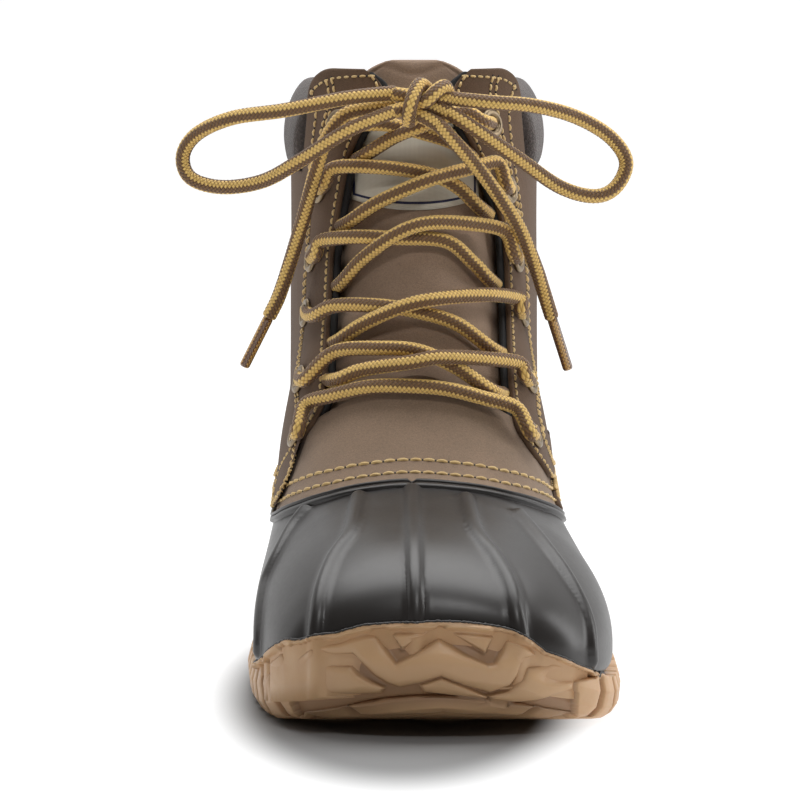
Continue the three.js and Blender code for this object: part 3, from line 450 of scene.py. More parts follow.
# A darker copy of the nubuck, used on the quarters: partly their own tone, partly painted shade.
QUARTER_TONE_AND_SHADE = finish("nubuck_quarter_tone_and_shade", linear(102, 80, 62), linear(82, 63, 48), 0.9, patch=26, contrast=1.6, grain=1500,
                 fuzz=3600, pebble=0.25, bump=0.4, depth=0.0003, fleck=0.3, Sheen_Weight=0.06, Sheen_Roughness=0.5,
                 Specular_IOR_Level=0.25)
SUEDE = finish("collar_suede", linear(104, 94, 90), linear(80, 71, 67), 0.9, patch=60, contrast=1.8, grain=1300,
               fuzz=3000, pebble=0.8, bump=0.8, depth=0.0006, fleck=0.35, Sheen_Weight=0.2, Sheen_Roughness=0.5)
RUBBER = finish("shell_rubber", linear(40, 36, 34), linear(33, 30, 28), 0.37, patch=18, contrast=1.3, grain=260,
                fuzz=900, pebble=0.3, bump=0.015, depth=0.0003, spread=0.03, Specular_IOR_Level=0.5)
# The gum is darker in its grooves: partly its own tone, partly painted shade.
GUM = finish("gum", linear(204, 164, 124), linear(184, 144, 104), 0.5, patch=22, contrast=1.7, grain=500,
             fuzz=1500, pebble=0.6, bump=0.06, depth=0.0003, groove_tone_and_shade=linear(156, 120, 88), Subsurface_Weight=0.05)
LINING = finish("lining", linear(120, 108, 94), linear(96, 86, 74), 0.95, patch=80, grain=1100, fuzz=2200, pebble=1.0,
                bump=0.7, depth=0.0006)
# Near-black: the lining's dark edge, and also the painted shade in the stitch holes.
DARK_EDGE_AND_HOLE_SHADE = finish("lining_edge_and_hole_shade", linear(26, 24, 24), linear(17, 16, 16), 0.85, patch=90, grain=1400, fuzz=3200,
              bump=0.4, depth=0.0003)
THREAD = finish("thread", linear(224, 196, 140), linear(196, 162, 104), 0.6, patch=400, grain=3000, fuzz=6000,
                bump=0.3, depth=0.0002)
BRASS = finish("eyelet_brass", linear(156, 140, 116), linear(112, 96, 74), 0.4, patch=200, grain=1500, fuzz=5000,
               bump=0.08, depth=0.0001, Metallic=1.0)

# %% [markdown]
# ## The lace's finish
# The lace is a round braid of two yarns. Its carriers cross in a lattice of small diamonds, and those of one
# colour stand in lanes along the cord, so each lane has a saw-toothed edge. The finish counts the diamonds in
# the lace's own UV map: once round, and millimetres along.

# %% Braid finish
BRAID_CELLS = 9
BRAID_PITCH = 1.3
BRAID_LANES = 3


def braid_finish(name, gold, deep_gold_and_shade, brown, roughness, **shader):
    material = bpy.data.materials.new(name)
    material.use_nodes = True
    tree = material.node_tree
    shade = tree.nodes["Principled BSDF"]
    uv = node(tree, "ShaderNodeTexCoord").outputs["UV"]
    split = node(tree, "ShaderNodeSeparateXYZ", [(0, uv)])

    def maths(operation, *values):
        return node(tree, "ShaderNodeMath", list(enumerate(values)), operation=operation).outputs[0]

    round_ = maths("MULTIPLY", split.outputs[0], float(BRAID_CELLS))
    along = maths("DIVIDE", split.outputs[1], BRAID_PITCH)
    p, q = maths("ADD", round_, along), maths("SUBTRACT", round_, along)
    lane = maths("MULTIPLY", maths("ADD", maths("FLOOR", p), maths("FLOOR", q)), BRAID_LANES / (2 * BRAID_CELLS))
    is_gold = maths("LESS_THAN", maths("FRACT", maths("ADD", lane, 40.01)), 0.5)
    lobe = maths("MULTIPLY", maths("SINE", maths("MULTIPLY", p, math.pi)), maths("SINE", maths("MULTIPLY", q, math.pi)))
    lobe = maths("POWER", maths("ABSOLUTE", lobe), 0.5)
    yarn = node(tree, "ShaderNodeTexNoise", [("Vector", uv), ("Scale", 9.0), ("Detail", 2.0)]).outputs["Fac"]
    # Gold is lighter on each yarn's crest and darker between the yarns: painted highlight and painted shade. The same
    # deep gold also tints the brown lanes' slanted lines, which is the braid's own colour.
    gold_with_yarn_shade = node(tree, "ShaderNodeMix", [(0, maths("MULTIPLY", lobe, 1.25)), (6, deep_gold_and_shade), (7, gold)],
                    data_type="RGBA")
    slant = maths("POWER", maths("ABSOLUTE", maths("SINE", maths("MULTIPLY", p, math.pi))), 2.0)
    brown_mix = node(tree, "ShaderNodeMix", [(0, slant), (6, brown), (7, tuple(0.7 * b + 0.3 * g for b, g in zip(brown, deep_gold_and_shade)))],
                     data_type="RGBA")
    mix = node(tree, "ShaderNodeMix", [(0, is_gold), (6, brown_mix.outputs[2]), (7, gold_with_yarn_shade.outputs[2])],
               data_type="RGBA")
    tree.links.new(mix.outputs[2], shade.inputs["Base Color"])
    rough = node(tree, "ShaderNodeMapRange", [(0, yarn), (1, 0.3), (2, 0.7), (3, roughness - 0.1), (4, roughness + 0.1)])
    tree.links.new(rough.outputs[0], shade.inputs["Roughness"])
    raised = node(tree, "ShaderNodeBump", [("Strength", 0.7), ("Distance", 0.0004), ("Height", lobe)])
    tree.links.new(raised.outputs[0], shade.inputs["Normal"])
    for key, value in shader.items():
        shade.inputs[key.replace("_", " ")].default_value = value
    return material


LACE = braid_finish("lace", linear(234, 196, 112), linear(172, 128, 62), linear(98, 70, 46), 0.6,
                    Sheen_Weight=0.15)
AGLET = braid_finish("aglet", linear(206, 160, 84), linear(160, 114, 54), linear(96, 60, 36), 0.25, Coat_Weight=1.0,
                     Coat_Roughness=0.05)

# %% [markdown]
# ## The bow
# The bow comes first among the shapes, because its loops and ends hang free and must be as long as they really
# are. Each is one smooth run of a limp round cord from the knot, through the places where the photograph shows
# it. The knot is the short stretch that wraps the two loops, and the ends are tipped.

# %% Cords: loops, tails, knot and tips
LACE_R = 2.25
LOOPS = {
    "outer": [[-10.6, -2.2, 169.6], [-25.1, -6, 168.2], [-43.7, -3, 164.4], [-59.7, 3, 161.7], [-70.5, 9, 156.6],
              [-74.9, 11, 149.8], [-72.5, 10, 143.2], [-63, 7, 140.7], [-50.5, 2, 142.9], [-38.9, -5, 149.6],
              [-25.1, -9, 158.5], [-11.4, -6, 164.2]],
    "inner": [[4.4, -2.2, 168], [16.8, -5, 166.9], [31, -1, 165.5], [43.5, 5, 161.9], [54, 10, 155.6], [59, 12, 147.9],
              [55.9, 11, 140.4], [49.2, 9, 137.8], [38.8, 6, 140.8], [26.3, 0, 149.6], [12.1, -6, 159.5],
              [4, -4, 164.4]],
}
TAILS = {
    "outer": [[-10.9, 2.5, 166.3], [-17.7, 1, 165.2], [-26.1, 1.5, 162.7], [-31.6, 5, 155], [-34.7, 6, 145.5],
              [-38.4, 9.5, 131.9], [-42.4, 13, 118.4], [-46.2, 15, 106.9], [-49.3, 16, 100.4]],
    "inner": [[2, -8, 160.6], [6.2, -8, 156], [13.2, -5, 148], [19.7, -1.8, 139.3], [26.5, 3.8, 128.7],
              [31.5, 9.5, 116.8], [34.4, 13, 108], [36.9, 15, 100.2]],
}
KNOT_RUNS = [
    [[-5.6, 3.6, 161.5], [-6.6, -5, 161.6], [-6.4, -8.6, 165], [-5.6, -8.4, 168.4], [-3.6, -4.5, 172],
     [-1.4, 1.0, 170.8]],
    [[-5.0, -3.5, 166.2], [-1.5, -6.6, 167.4], [1.2, -6.4, 170], [3.8, -3.4, 171.4], [5.2, 0.6, 169.2]],
    [[-12.5, -2.6, 169.4], [-6, -3.2, 168.6], [0.5, -2.8, 167.8], [6.2, -2.8, 167.6]],
    [[-12.6, -6, 163.8], [-6, -4.4, 165.4], [0, -4, 165.4], [5.2, -4.6, 163.6]],
    [[-6, -3.4, 163.4], [-2, -6.4, 162.4], [2.4, -8, 160.2]],
]
TIP_LENGTH, TIP_R, TIP_GAP = 17.0, 1.6, 0.3

knot = finish_piece("bow_knot", tube_mesh("bow_knot", KNOT_RUNS, LACE_R, 27, 0.42, 1.1, 0.2), LACE,
                    ["lace_knot"])
cord_lengths = {}
for side in ("outer", "inner"):
    tail_path = curve_through(TAILS[side], 60)
    way = unit(tail_path[-1] - tail_path[-2])
    tip_run = [tail_path[-1] + way * (TIP_GAP + TIP_LENGTH * t) for t in (0, 0.5, 1)]
    tip = finish_piece(f"lace_tip_{side}", tube_mesh(f"lace_tip_{side}", [tip_run], TIP_R, 24, 0.5, 0.2, 0.03, cap=0.3),
                       AGLET, [f"lace_aglet_{side}"])
    for kind, rows, node_name, far, extras in (("loop", LOOPS[side], f"lace_loop_{side}", "knot", [knot]),
                                               ("tail", TAILS[side], f"lace_tail_{side}", "fitting", [tip])):
        path = curve_through(rows, 60)
        length = float(np.linalg.norm(np.diff(path, axis=0), axis=1).sum())
        cord_lengths[f"{kind}_{side}"] = round(length)
        mesh = tube_mesh(f"bow_{kind}_{side}", [rows], LACE_R, 27, 0.47, 0.5 if kind == "tail" else 0.25, 0.2)
        cord = finish_piece(f"bow_{kind}_{side}", mesh, LACE, [node_name])
print("free lengths of the lace, mm:", cord_lengths)

# %% [markdown]
# ## Lines on the last
# The rubber ends at a rim line, and the quarters end at the throat. Both are lines on the last, so the code asks
# at which section a given angle meets the rim, and keeps each throat edge as a smooth run of points seen from
# the front.

# %% Rim line
RIM = np.array([[0.262, 0.92], [0.2665, 0.672], [0.28, 0.636], [0.309, 0.593], [0.36, 0.54], [0.414, 0.508],
                [0.54, 0.5], [0.72, 0.545], [0.86, 0.63], [1.02, 0.7]])


def rim_section(angle):
    """The section number at which the skin crosses the rim line, at an angle."""
    angle = np.asarray(angle, float)
    lo, hi = np.full(angle.shape, 3.0), np.full(angle.shape, 15.9)
    for _ in range(40):
        middle = (lo + hi) / 2
        p = skin(middle, angle)
        back = p[..., 1] / SOLE + 0.5
        rim = np.where(back < RIM[0, 0], 1e3, np.interp(back, RIM[:, 0], RIM[:, 1]) * INSTEP)
        under = p[..., 2] < rim
        lo, hi = np.where(under, middle, lo), np.where(under, hi, middle)
    return (lo + hi) / 2


RIM_TURNS = np.linspace(-np.pi, np.pi, 1441)
raw = rim_section(RIM_TURNS)
kernel = np.hanning(27) / np.hanning(27).sum()
RIM_U = np.convolve(np.concatenate([raw[-14:-1], raw, raw[1:14]]), kernel, "valid")


def rim_u(angle):
    return np.interp((np.asarray(angle) + np.pi) % (2 * np.pi) - np.pi, RIM_TURNS, RIM_U)


def per_section(u, angle):
    """Millimetres of skin for each section number."""
    return np.linalg.norm(skin(u + NUDGE, angle) - skin(u - NUDGE, angle), axis=-1) / (2 * NUDGE)


def per_radian(u, angle):
    """Millimetres of skin for each radian round."""
    return np.linalg.norm(skin(u, angle + NUDGE) - skin(u, angle - NUDGE), axis=-1) / (2 * NUDGE)


def above_rim(angle, height):
    """The section number that lies a height above the rim, along the skin."""
    u = rim_u(angle)
    for _ in range(12):
        u = u + height / 12 / per_section(u, angle)
    return u


print("rim at the crest and heel, mm up:", [round(float(skin(rim_u(a), a)[2]), 1) for a in (0.0, math.pi)])

# %% The sole's outline and the height of its side
OUTLINE = np.array([[0, .014, .014], [.0065, -.163, .192], [.0252, -.288, .317], [.0612, -.389, .418],
                    [.1187, -.457, .486], [.1978, -.495, .512], [.2878, -.513, .516], [.3597, -.516, .503],
                    [.4496, -.493, .457], [.5576, -.442, .375], [.6655, -.409, .322], [.7734, -.399, .303],
                    [.8633, -.385, .293], [.9353, -.327, .24], [.9784, -.212, .135], [1, -.043, -.043]])
SOLE_SIDE = np.array([[0, 2.62, 1], [.018, 2.4, .62], [.043, 2.04, .4], [.072, 1.71, .22], [.108, 1.46, .08],
                      [.162, 1.21, 0], [.234, 1.04, 0], [.51, 1.02, 0], [.6, 1.06, .16], [.69, 1.1, 0],
                      [.83, 1.18, 0], [1, 1.35, .05]])

TOP_EASE = {-1: np.array([[0, 1.5], [.009, 1.6], [.018, .7], [.028, 1.6], [.04, 1.8], [.06, 3.8], [.08, 2.4],
                          [.12, 0], [.2, -1.4], [.35, -1], [.5, 0]]),
            1: np.array([[0, 1.5], [.008, .2], [.02, -4.3], [.05, -5.0], [.07, -4.6], [.1, -4.2], [.2, -3.2],
                         [.35, -1.8], [.5, 0]])}


def sole_top_at(x, back):
    """The height of the gum's top edge. It stands lower on the inner side of the toe."""
    top = np.interp(back, SOLE_SIDE[:, 0], SOLE_SIDE[:, 1]) * 12
    ease = [np.interp(back, TOP_EASE[sign][:, 0], TOP_EASE[sign][:, 1]) for sign in (-1, 1)]
    blend = np.clip((x + 8) / 20, 0, 1)
    return top + ease[0] * (1 - blend) + ease[1] * blend


# %% Throat edges and heights
THROAT = {
    "outer": [[-46.2, 47.5], [-43.4, 58.4], [-39, 66.6], [-33.4, 75], [-30.9, 81.6], [-30.5, 93.7], [-29.8, 107.5],
              [-29, 121.8], [-26.6, 136.6], [-23.4, 151.4], [-17.6, 162], [-14.2, 167.4], [-15.4, 171.5],
              [-19.5, 174.6]],
    "inner": [[37.2, 50.4], [34.8, 55.7], [32, 60.9], [27.5, 67.4], [24.2, 73.2], [22.8, 83.3], [22.5, 92.9],
              [22.3, 109.8], [21.3, 126.1], [18.2, 137.6], [13.2, 150], [8.2, 160.5], [6.2, 166.5], [7.6, 171.4],
              [11.6, 174.7]],
}
COLLAR_LOW = INSTEP + 0.6 * SHAFT
FLAP_TOP = INSTEP + 0.96 * SHAFT
COLLAR_FRONT = 0.64
SHAFT_MIDDLE = 0.5
EYESTAY_WIDTH = 25.0


def back_line(z):
    """How far back the eyestay's rear edge stands, at a height in the collar's range."""
    low, high = (COLLAR_FRONT - 0.5) * SOLE + 4, (COLLAR_FRONT - 0.5) * SOLE - 1
    return low + (high - low) * np.clip((z - COLLAR_LOW) / (FLAP_TOP - 5 - COLLAR_LOW), 0, 1)


def angle_at_back(z, y, sign):
    """The angle at which the skin at a height lies at a place along the boot."""
    lo, hi = np.full(np.shape(z), 0.3), np.full(np.shape(z), 2.4)
    for _ in range(36):
        middle = (lo + hi) / 2
        p = skin(section_at_height(sign * middle, z), sign * middle)
        before = p[..., 1] < y
        lo, hi = np.where(before, middle, lo), np.where(before, hi, middle)
    return sign * (lo + hi) / 2


throat_lines = {}
for side, sign in (("outer", -1), ("inner", 1)):
    front = curve_through(np.column_stack([THROAT[side], np.zeros(len(THROAT[side]))])[:, [0, 1, 2]], 220)
    u, a = on_front(front[:, 0], front[:, 1], 0.0)
    a = np.abs(a)
    start = np.argmax(u >= rim_u(sign * a))
    u, a = u[start:], a[start:]
    u[0] = rim_u(sign * a[0])
    throat_lines[side] = (u, sign * a)
    print(side, "throat edge, sections", round(float(u[0]), 2), "to", round(float(u[-1]), 2))

# %% [markdown]
# ## The rubber shell
# The lower is one moulded piece of rubber, with a rolled rim, a welt below it and half-round ribs over the toe.
# It is a grid from the toe to the rim line. The rim's profile and the ribs are moves along the skin's outward
# direction, and rows crowd together under the rim so that its steps stay crisp.

# %% Shell
SHELL_FRONT, SHELL_BACK, SHELL_WRAP = 270, 96, 1.75
SHELL_COLUMNS = SHELL_FRONT + SHELL_BACK
RIM_PROFILE = np.array([[0, 0.1], [0.15, 0.8], [0.4, 1.3], [0.8, 1.45], [1.3, 1.35], [1.6, 0.75], [1.8, 0.2],
                        [2.0, 0.55], [2.3, 1.05], [3.0, 1.2], [4.2, 1.15], [4.55, 0.85], [4.75, 0.1], [5.0, -0.35],
                        [5.6, 0.0], [8, 0.0]])
RIM_STEPS = np.array([0, .07, .15, .27, .4, .6, .8, 1.05, 1.3, 1.45, 1.6, 1.7, 1.8, 1.9, 2.0, 2.15, 2.3, 2.6, 3.0, 3.6,
                      4.2, 4.4, 4.55, 4.65, 4.75, 4.87, 5.0, 5.3, 5.6, 6.3, 7.2])
SHELL_WALL = 2.5
RIBS = [
    [[-0.057, 0.668], [-0.053, 0.589], [-0.051, 0.503], [-0.048, 0.427], [-0.048, 0.34]],
    [[-0.204, 0.643], [-0.222, 0.575], [-0.268, 0.515], [-0.298, 0.44], [-0.31, 0.35], [-0.315, 0.26]],
    [[0.091, 0.643], [0.112, 0.581], [0.165, 0.52], [0.203, 0.45], [0.219, 0.36], [0.228, 0.26]],
    [[-0.346, 0.592], [-0.394, 0.524], [-0.446, 0.416], [-0.465, 0.34], [-0.469, 0.208]],
    [[0.237, 0.592], [0.302, 0.522], [0.365, 0.434], [0.41, 0.329], [0.419, 0.213]],
]
RIB_R, RIB_SUNK = 2.7, 0.95

angles = np.concatenate([np.linspace(-SHELL_WRAP, SHELL_WRAP, SHELL_FRONT, endpoint=False),
                         np.linspace(SHELL_WRAP, 2 * np.pi - SHELL_WRAP, SHELL_BACK, endpoint=False)])
top_u = rim_u(angles)
near_rim = top_u[None] - RIM_STEPS[:, None] / per_section(top_u, angles)[None]
body_rows = 200
share = np.linspace(0, 1, body_rows + 1)[1:, None]
shell_u = np.concatenate([near_rim, near_rim[-1:] + (0.12 - near_rim[-1:]) * share])
shell_a = np.broadcast_to(angles, shell_u.shape)
depth = np.concatenate([np.broadcast_to(RIM_STEPS[:, None], near_rim.shape), np.full((body_rows, SHELL_COLUMNS), 9.0)])
lift = np.interp(depth, RIM_PROFILE[:, 0], RIM_PROFILE[:, 1])

rib_points, rib_lines = [], []
for row in RIBS:
    line = curve_through(np.array([[x * BALL, z * INSTEP, 0] for x, z in row]), 60)
    u, a = on_front(line[:, 0], line[:, 1])
    for values in (u, a):
        values[3:-3] = np.median([values[k:len(values) - 6 + k] for k in range(7)], axis=0)
    rib_lines.append(skin(u, a))
base = skin(shell_u, shell_a)
front = (base[..., 1] < -40) & (base[..., 2] > 12)
rib_gap = np.full(base.shape[:2], 99.0)
for line in rib_lines:
    gap = np.full(int(front.sum()), 99.0)
    for p, q in zip(line[:-1], line[1:]):
        along = np.clip(((base[front] - p) @ (q - p)) / max(np.dot(q - p, q - p), 1e-9), 0, 1)
        gap = np.minimum(gap, np.linalg.norm(base[front] - p - along[:, None] * (q - p), axis=1))
    rib_gap[front] = np.minimum(rib_gap[front], gap)
bead = np.sqrt(np.maximum(RIB_R ** 2 - rib_gap ** 2, 0)) - RIB_SUNK
fillet = 0.35 * np.exp(-((rib_gap - 2.4) / 1.0) ** 2)
rib_lift = np.maximum(np.maximum(bead, 0), fillet * (rib_gap > 2.0))
lift = np.maximum(lift, np.where(depth > 4.9, rib_lift, 0))
notch = np.clip(1 - np.abs(base[..., 0] + 5.9) / np.maximum(0.2, 1.5 * (1 - depth / 5.5)), 0, 1) * (depth < 5) * front
lift = lift - 1.1 * notch
ring_line = curve_through(np.column_stack([np.vstack([OUTLINE[:, [1, 0]], OUTLINE[1:-1][::-1][:, [2, 0]]])
                                           * [BALL, SOLE] - [0, SOLE / 2], np.zeros(30)]), 360, closed=True)[:, :2]
gum_top = np.empty(base.shape[:2])
for row in range(len(base)):
    near = np.hypot(*(base[row, :, None, :2] - ring_line[None]).transpose(2, 0, 1)).argmin(1)
    gum_top[row] = sole_top_at(ring_line[near, 0], ring_line[near, 1] / SOLE + 0.5)
sunk = np.clip((gum_top - 0.6 - base[..., 2]) / 1.6, 0, 1)
sunk = sunk * sunk * (3 - 2 * sunk)
outer = shifted(shell_u, shell_a, lift - 5.0 * sunk)
inner = shifted(shell_u, shell_a, -SHELL_WALL - 2.8 * sunk)


def closed_bag(name, outer, inner):
    """A bag: an outer and an inner grid, closed round, joined at the first row and capped at the last."""
    columns = outer.shape[1]
    rows = len(outer) + len(inner)
    points = np.concatenate([outer[::-1].reshape(-1, 3), inner.reshape(-1, 3)])
    faces = grid_faces(rows, columns, closed=True).tolist()
    faces.append(tuple(range(columns))[::-1])
    faces.append(tuple((rows - 1) * columns + k for k in range(columns)))
    return weld(mesh_from(name, points, faces))


inner_rows = np.unique(np.concatenate([[0, 8, 16, 24], np.linspace(30, len(inner) - 1, 24).astype(int)]))
shell_mesh = closed_bag("rubber_shell", outer, inner[inner_rows])
shell = finish_piece("rubber_shell", shell_mesh, RUBBER, ["shell"])

# %% [markdown]
# ## The vamp and the quarters
# The leather over the toes is the vamp, and the two quarters wrap the ankle and carry the eyelets. The quarters
# lie on the vamp, so they are a step further out. Their front parts, the eyestays, are doubled leather, which
# shows as one more small step at a double row of stitches. A thin dark lining shows beyond the leather's edge.

# %% Quarters
QUARTER_ROWS = 190
EYESTAY_COLUMNS = np.concatenate([[0, .1, .22, .36, .55, .8, 1.1], np.linspace(1.5, 23.8, 34),
                                  [24.2, 24.5, 24.7, 24.9, 25.0]]) / 25
REAR_COLUMNS = np.concatenate([[0.2, 0.5, 0.9], np.linspace(2, 100, 56)]) / 100
LEATHER_OUT, LEATHER_IN, EYESTAY_STEP = 1.3, 0.0, 0.55
FLAP_ROUND, FLAP_FALL = 13.0, 10.0
LINING_OUT, LINING_IN, LINING_SHOWS = -0.1, -1.9, 1.9


def quarter_grid(side):
    """Section numbers and angles over one quarter, and the rows below the collar."""
    sign = -1 if side == "outer" else 1
    rear_count = len(EYESTAY_COLUMNS)
    line_u, line_a = throat_lines[side]
    q = np.concatenate([[0, .0015, .004, .008], np.linspace(0.014, 0.982, QUARTER_ROWS), [0.988, 0.993, 0.997, 1]])
    edge_u = np.interp(q, np.linspace(0, 1, len(line_u)), line_u)
    edge_a = np.interp(q, np.linspace(0, 1, len(line_a)), np.abs(line_a))
    share = np.maximum.accumulate((edge_u - edge_u[0]) / (edge_u[-1] - edge_u[0]))
    share = np.convolve(np.pad(share, 12, "edge"), np.hanning(27)[1:-1] / np.hanning(27).sum(), "valid")
    share = np.interp(q, [0, 1], [0, 1]) * 0.08 + 0.92 * (share - share[0]) / (share[-1] - share[0])
    edge = skin(edge_u, sign * edge_a)
    rear_wide = edge_a + EYESTAY_WIDTH / per_radian(edge_u, sign * (edge_a + 0.35))
    rear_back = np.abs(angle_at_back(np.maximum(edge[:, 2], COLLAR_LOW), back_line(edge[:, 2]), sign))
    blend = np.clip((edge[:, 2] - 96) / 40, 0, 1)
    blend = blend * blend * (3 - 2 * blend)
    rear_a = rear_wide + (rear_back - rear_wide) * blend
    a = np.concatenate([edge_a[:, None] + (rear_a - edge_a)[:, None] * EYESTAY_COLUMNS[None],
                        rear_a[:, None] + (np.pi - rear_a)[:, None] * REAR_COLUMNS[None]], 1)
    bottom = rim_u(sign * a) + 0.3 / per_section(rim_u(sign * a), sign * a)
    top = section_at_height(sign * a[-1], np.interp(np.arange(a.shape[1]), [0, 4, a.shape[1]],
                                                    [edge[-1, 2], FLAP_TOP, FLAP_TOP]))
    corner = np.clip(1 - (1 - EYESTAY_COLUMNS[:, None].T[0]) * EYESTAY_WIDTH / FLAP_ROUND, 0, 1)
    fall = FLAP_FALL * (1 - np.sqrt(1 - corner ** 2))
    top[:rear_count] -= fall / per_section(top[:rear_count], sign * a[-1, :rear_count])
    u = bottom + (top[None] - bottom) * share[:, None]
    bend = edge_u - u[:, 0]
    fade = np.clip(np.concatenate([EYESTAY_COLUMNS, 1 + 0 * REAR_COLUMNS]), 0, 1)
    u = u + bend[:, None] * (1 - fade * fade * (3 - 2 * fade))[None]
    low_row = int(np.argmin(np.abs(skin(u[:, len(EYESTAY_COLUMNS)], sign * a[:, len(EYESTAY_COLUMNS)])[:, 2]
                                   - COLLAR_LOW)))
    rear = len(EYESTAY_COLUMNS)
    level = section_at_height(sign * a[low_row, rear:], COLLAR_LOW - 0.3)
    ease = np.clip((np.arange(low_row + 1) / low_row), 0, 1)[:, None]
    u[:low_row + 1, rear:] += (level - u[low_row, rear:])[None] * ease ** 2
    return u, sign * a, low_row


def edge_run(points, axis, back=False):
    """Millimetres from one edge of a grid of points."""
    steps = np.linalg.norm(np.diff(points, axis=axis), axis=-1)
    if back:
        steps = np.flip(steps, axis)
    run = np.cumsum(steps, axis)
    zero = np.zeros_like(np.take(run, [0], axis))
    run = np.concatenate([zero, run], axis)
    return np.flip(run, axis) if back else run


def rounded(distance, radius):
    """How far a soft edge falls away, by the distance from it."""
    inside = np.clip(1 - distance / radius, 0, 1)
    return radius * (1 - np.sqrt(1 - inside ** 2))


quarter_grids = {}
for side in ("outer", "inner"):
    u, a, low_row = quarter_grid(side)
    rear = len(EYESTAY_COLUMNS)
    base = skin(u, a)
    front_run = edge_run(base, 1)
    top_run = edge_run(base, 0, back=True)
    low_run = edge_run(base, 0)
    rear_run = np.abs(front_run - front_run[:, rear - 1:rear])
    quarter_grids[side] = (u, a, low_row, front_run)
    keep = np.ones((u.shape[0] - 1, u.shape[1] - 1), bool)
    keep[low_row:, rear - 1:] = False
    column = np.arange(u.shape[1])[None]
    behind = np.clip((front_run - front_run[:, rear - 1:rear]) / 0.45 + 1, 0, 1)
    out = LEATHER_OUT - EYESTAY_STEP * behind
    out = out - np.minimum(rounded(front_run, 0.75), 0.9)
    on_flap = (np.arange(u.shape[0])[:, None] > low_row) & (column < rear)
    out = out - np.where(column < rear, np.minimum(rounded(top_run, 0.75), 0.9), 0)
    out = out - np.minimum(rounded(low_run, 0.7), 0.8)
    out = out - np.where(on_flap, np.minimum(rounded(rear_run, 0.6), 0.5), 0)
    puff = 0.25 * np.sin(np.clip(front_run / 24, 0, 1) * np.pi)
    leather = wall_mesh(f"quarter_{side}", shifted(u, a, out + puff), shifted(u, a, np.full(u.shape, LEATHER_IN)), keep)
    # The quarters' darker nubuck is partly painted shade.
    finish_piece(f"quarter_{side}", weld(leather), QUARTER_TONE_AND_SHADE, ["upper"])

# %% Throat lining: the dark edge that shows beyond the leather
for side in ("outer", "inner"):
    u, a, low_row, front_run = quarter_grids[side]
    sign = -1 if side == "outer" else 1
    wide = np.array([-1.0, -0.96, -0.85, -0.6, 0.0, 1.0, 2.5, 4.0])
    start = int(np.argmax(skin(u[:, 0], a[:, 0])[:, 2] > 49))
    rows = np.arange(start, u.shape[0])
    reach = LINING_SHOWS * np.minimum(1, (rows - start) / 14)
    shift = np.where(wide[None] < 0, wide[None] * reach[:, None], wide[None])
    edge_u, edge_a = u[rows, 0][:, None], a[rows, 0][:, None]
    lining_a = edge_a + sign * shift / per_radian(edge_u, edge_a)
    top_fall = rounded(edge_run(skin(edge_u, edge_a), 0, back=True), 1.2)
    roll = rounded(shift + reach[:, None], 0.9)
    place = np.broadcast_to(edge_u, lining_a.shape)
    out = shifted(place, lining_a, LINING_OUT - np.minimum(roll, 0.8) + 0 * top_fall)
    inn = shifted(place, lining_a, LINING_IN + np.minimum(roll, 0.8))
    strip = weld(wall_mesh(f"throat_lining_{side}", out, inn))
    finish_piece(f"throat_lining_{side}", strip, DARK_EDGE_AND_HOLE_SHADE, ["upper"])

# %% Vamp
VAMP_TOP = [[-41, 66], [-36, 73], [-29.4, 78.3], [-17.6, 84.6], [-5, 88.6], [8.3, 85.1], [22.5, 76.5], [28.5, 72.5],
            [33, 67]]
VAMP_ROWS, VAMP_COLUMNS = 70, 110
crest = curve_through(np.array([[x, z, 0] for x, z in VAMP_TOP]), VAMP_COLUMNS)
crest_u, crest_a = on_front(crest[:, 0], crest[:, 1])
low_a = np.linspace(-1.48, 1.42, VAMP_COLUMNS)
share = np.concatenate([[0, 0.004, 0.012, 0.025], np.linspace(0.04, 0.97, VAMP_ROWS), [0.98, 0.99, 0.996, 1]])[:, None]
vamp_a = low_a[None] + (crest_a - low_a)[None] * share
low_u = rim_u(low_a) + 0.3 / per_section(rim_u(low_a), low_a)
vamp_u = low_u[None] + (crest_u - low_u)[None] * share
base = skin(vamp_u, vamp_a)
out = -np.minimum(rounded(edge_run(base, 0), 0.8), 0.9) - np.minimum(rounded(edge_run(base, 0, back=True), 0.9), 1.0)
vamp = weld(wall_mesh("vamp", shifted(vamp_u, vamp_a, out - 0.05), shifted(vamp_u, vamp_a, np.full(vamp_u.shape, -1.9))))
finish_piece("vamp", vamp, NUBUCK, ["upper"])

# %% Inner lining of the leg
LEG_COLUMNS = 100
grid_u, grid_a = [], []
heights = np.linspace(24, 168, 44)
for z in heights:
    limits = []
    for side in ("inner", "outer"):
        qu, qa, _, _ = quarter_grids[side]
        line = skin(qu[:, 8], qa[:, 8])[:, 2]
        limits.append(float(np.interp(z, line, np.abs(qa[:, 8]))) if z > 60 else 1.25)
    turn = np.linspace(limits[0], 2 * np.pi - limits[1], LEG_COLUMNS)
    turn = np.where(turn > np.pi, turn - 2 * np.pi, turn)
    grid_a.append(turn)
    grid_u.append(section_at_height(turn, np.full(turn.shape, z), low=5.0))
grid_u, grid_a = np.array(grid_u), np.array(grid_a)
deep = -2.15 - 2.1 * np.clip((rim_u(grid_a) + 9.5 / per_section(rim_u(grid_a), grid_a) - grid_u) * 3 + 0.5, 0, 1)
leg_lining = weld(wall_mesh("leg_lining", shifted(grid_u, grid_a, deep), shifted(grid_u, grid_a, deep - 0.9)))
finish_piece("leg_lining", leg_lining, LINING, ["upper"])

# %% [markdown]
# ## Collar and tongue
# Both are foam under a soft skin. The collar is a ring of rounded section round the back of the leg, and the
# tongue is a long pad that is thinner towards its edges. They are crowned closed forms, made directly, because
# their seams and edges stay where the pattern puts them.

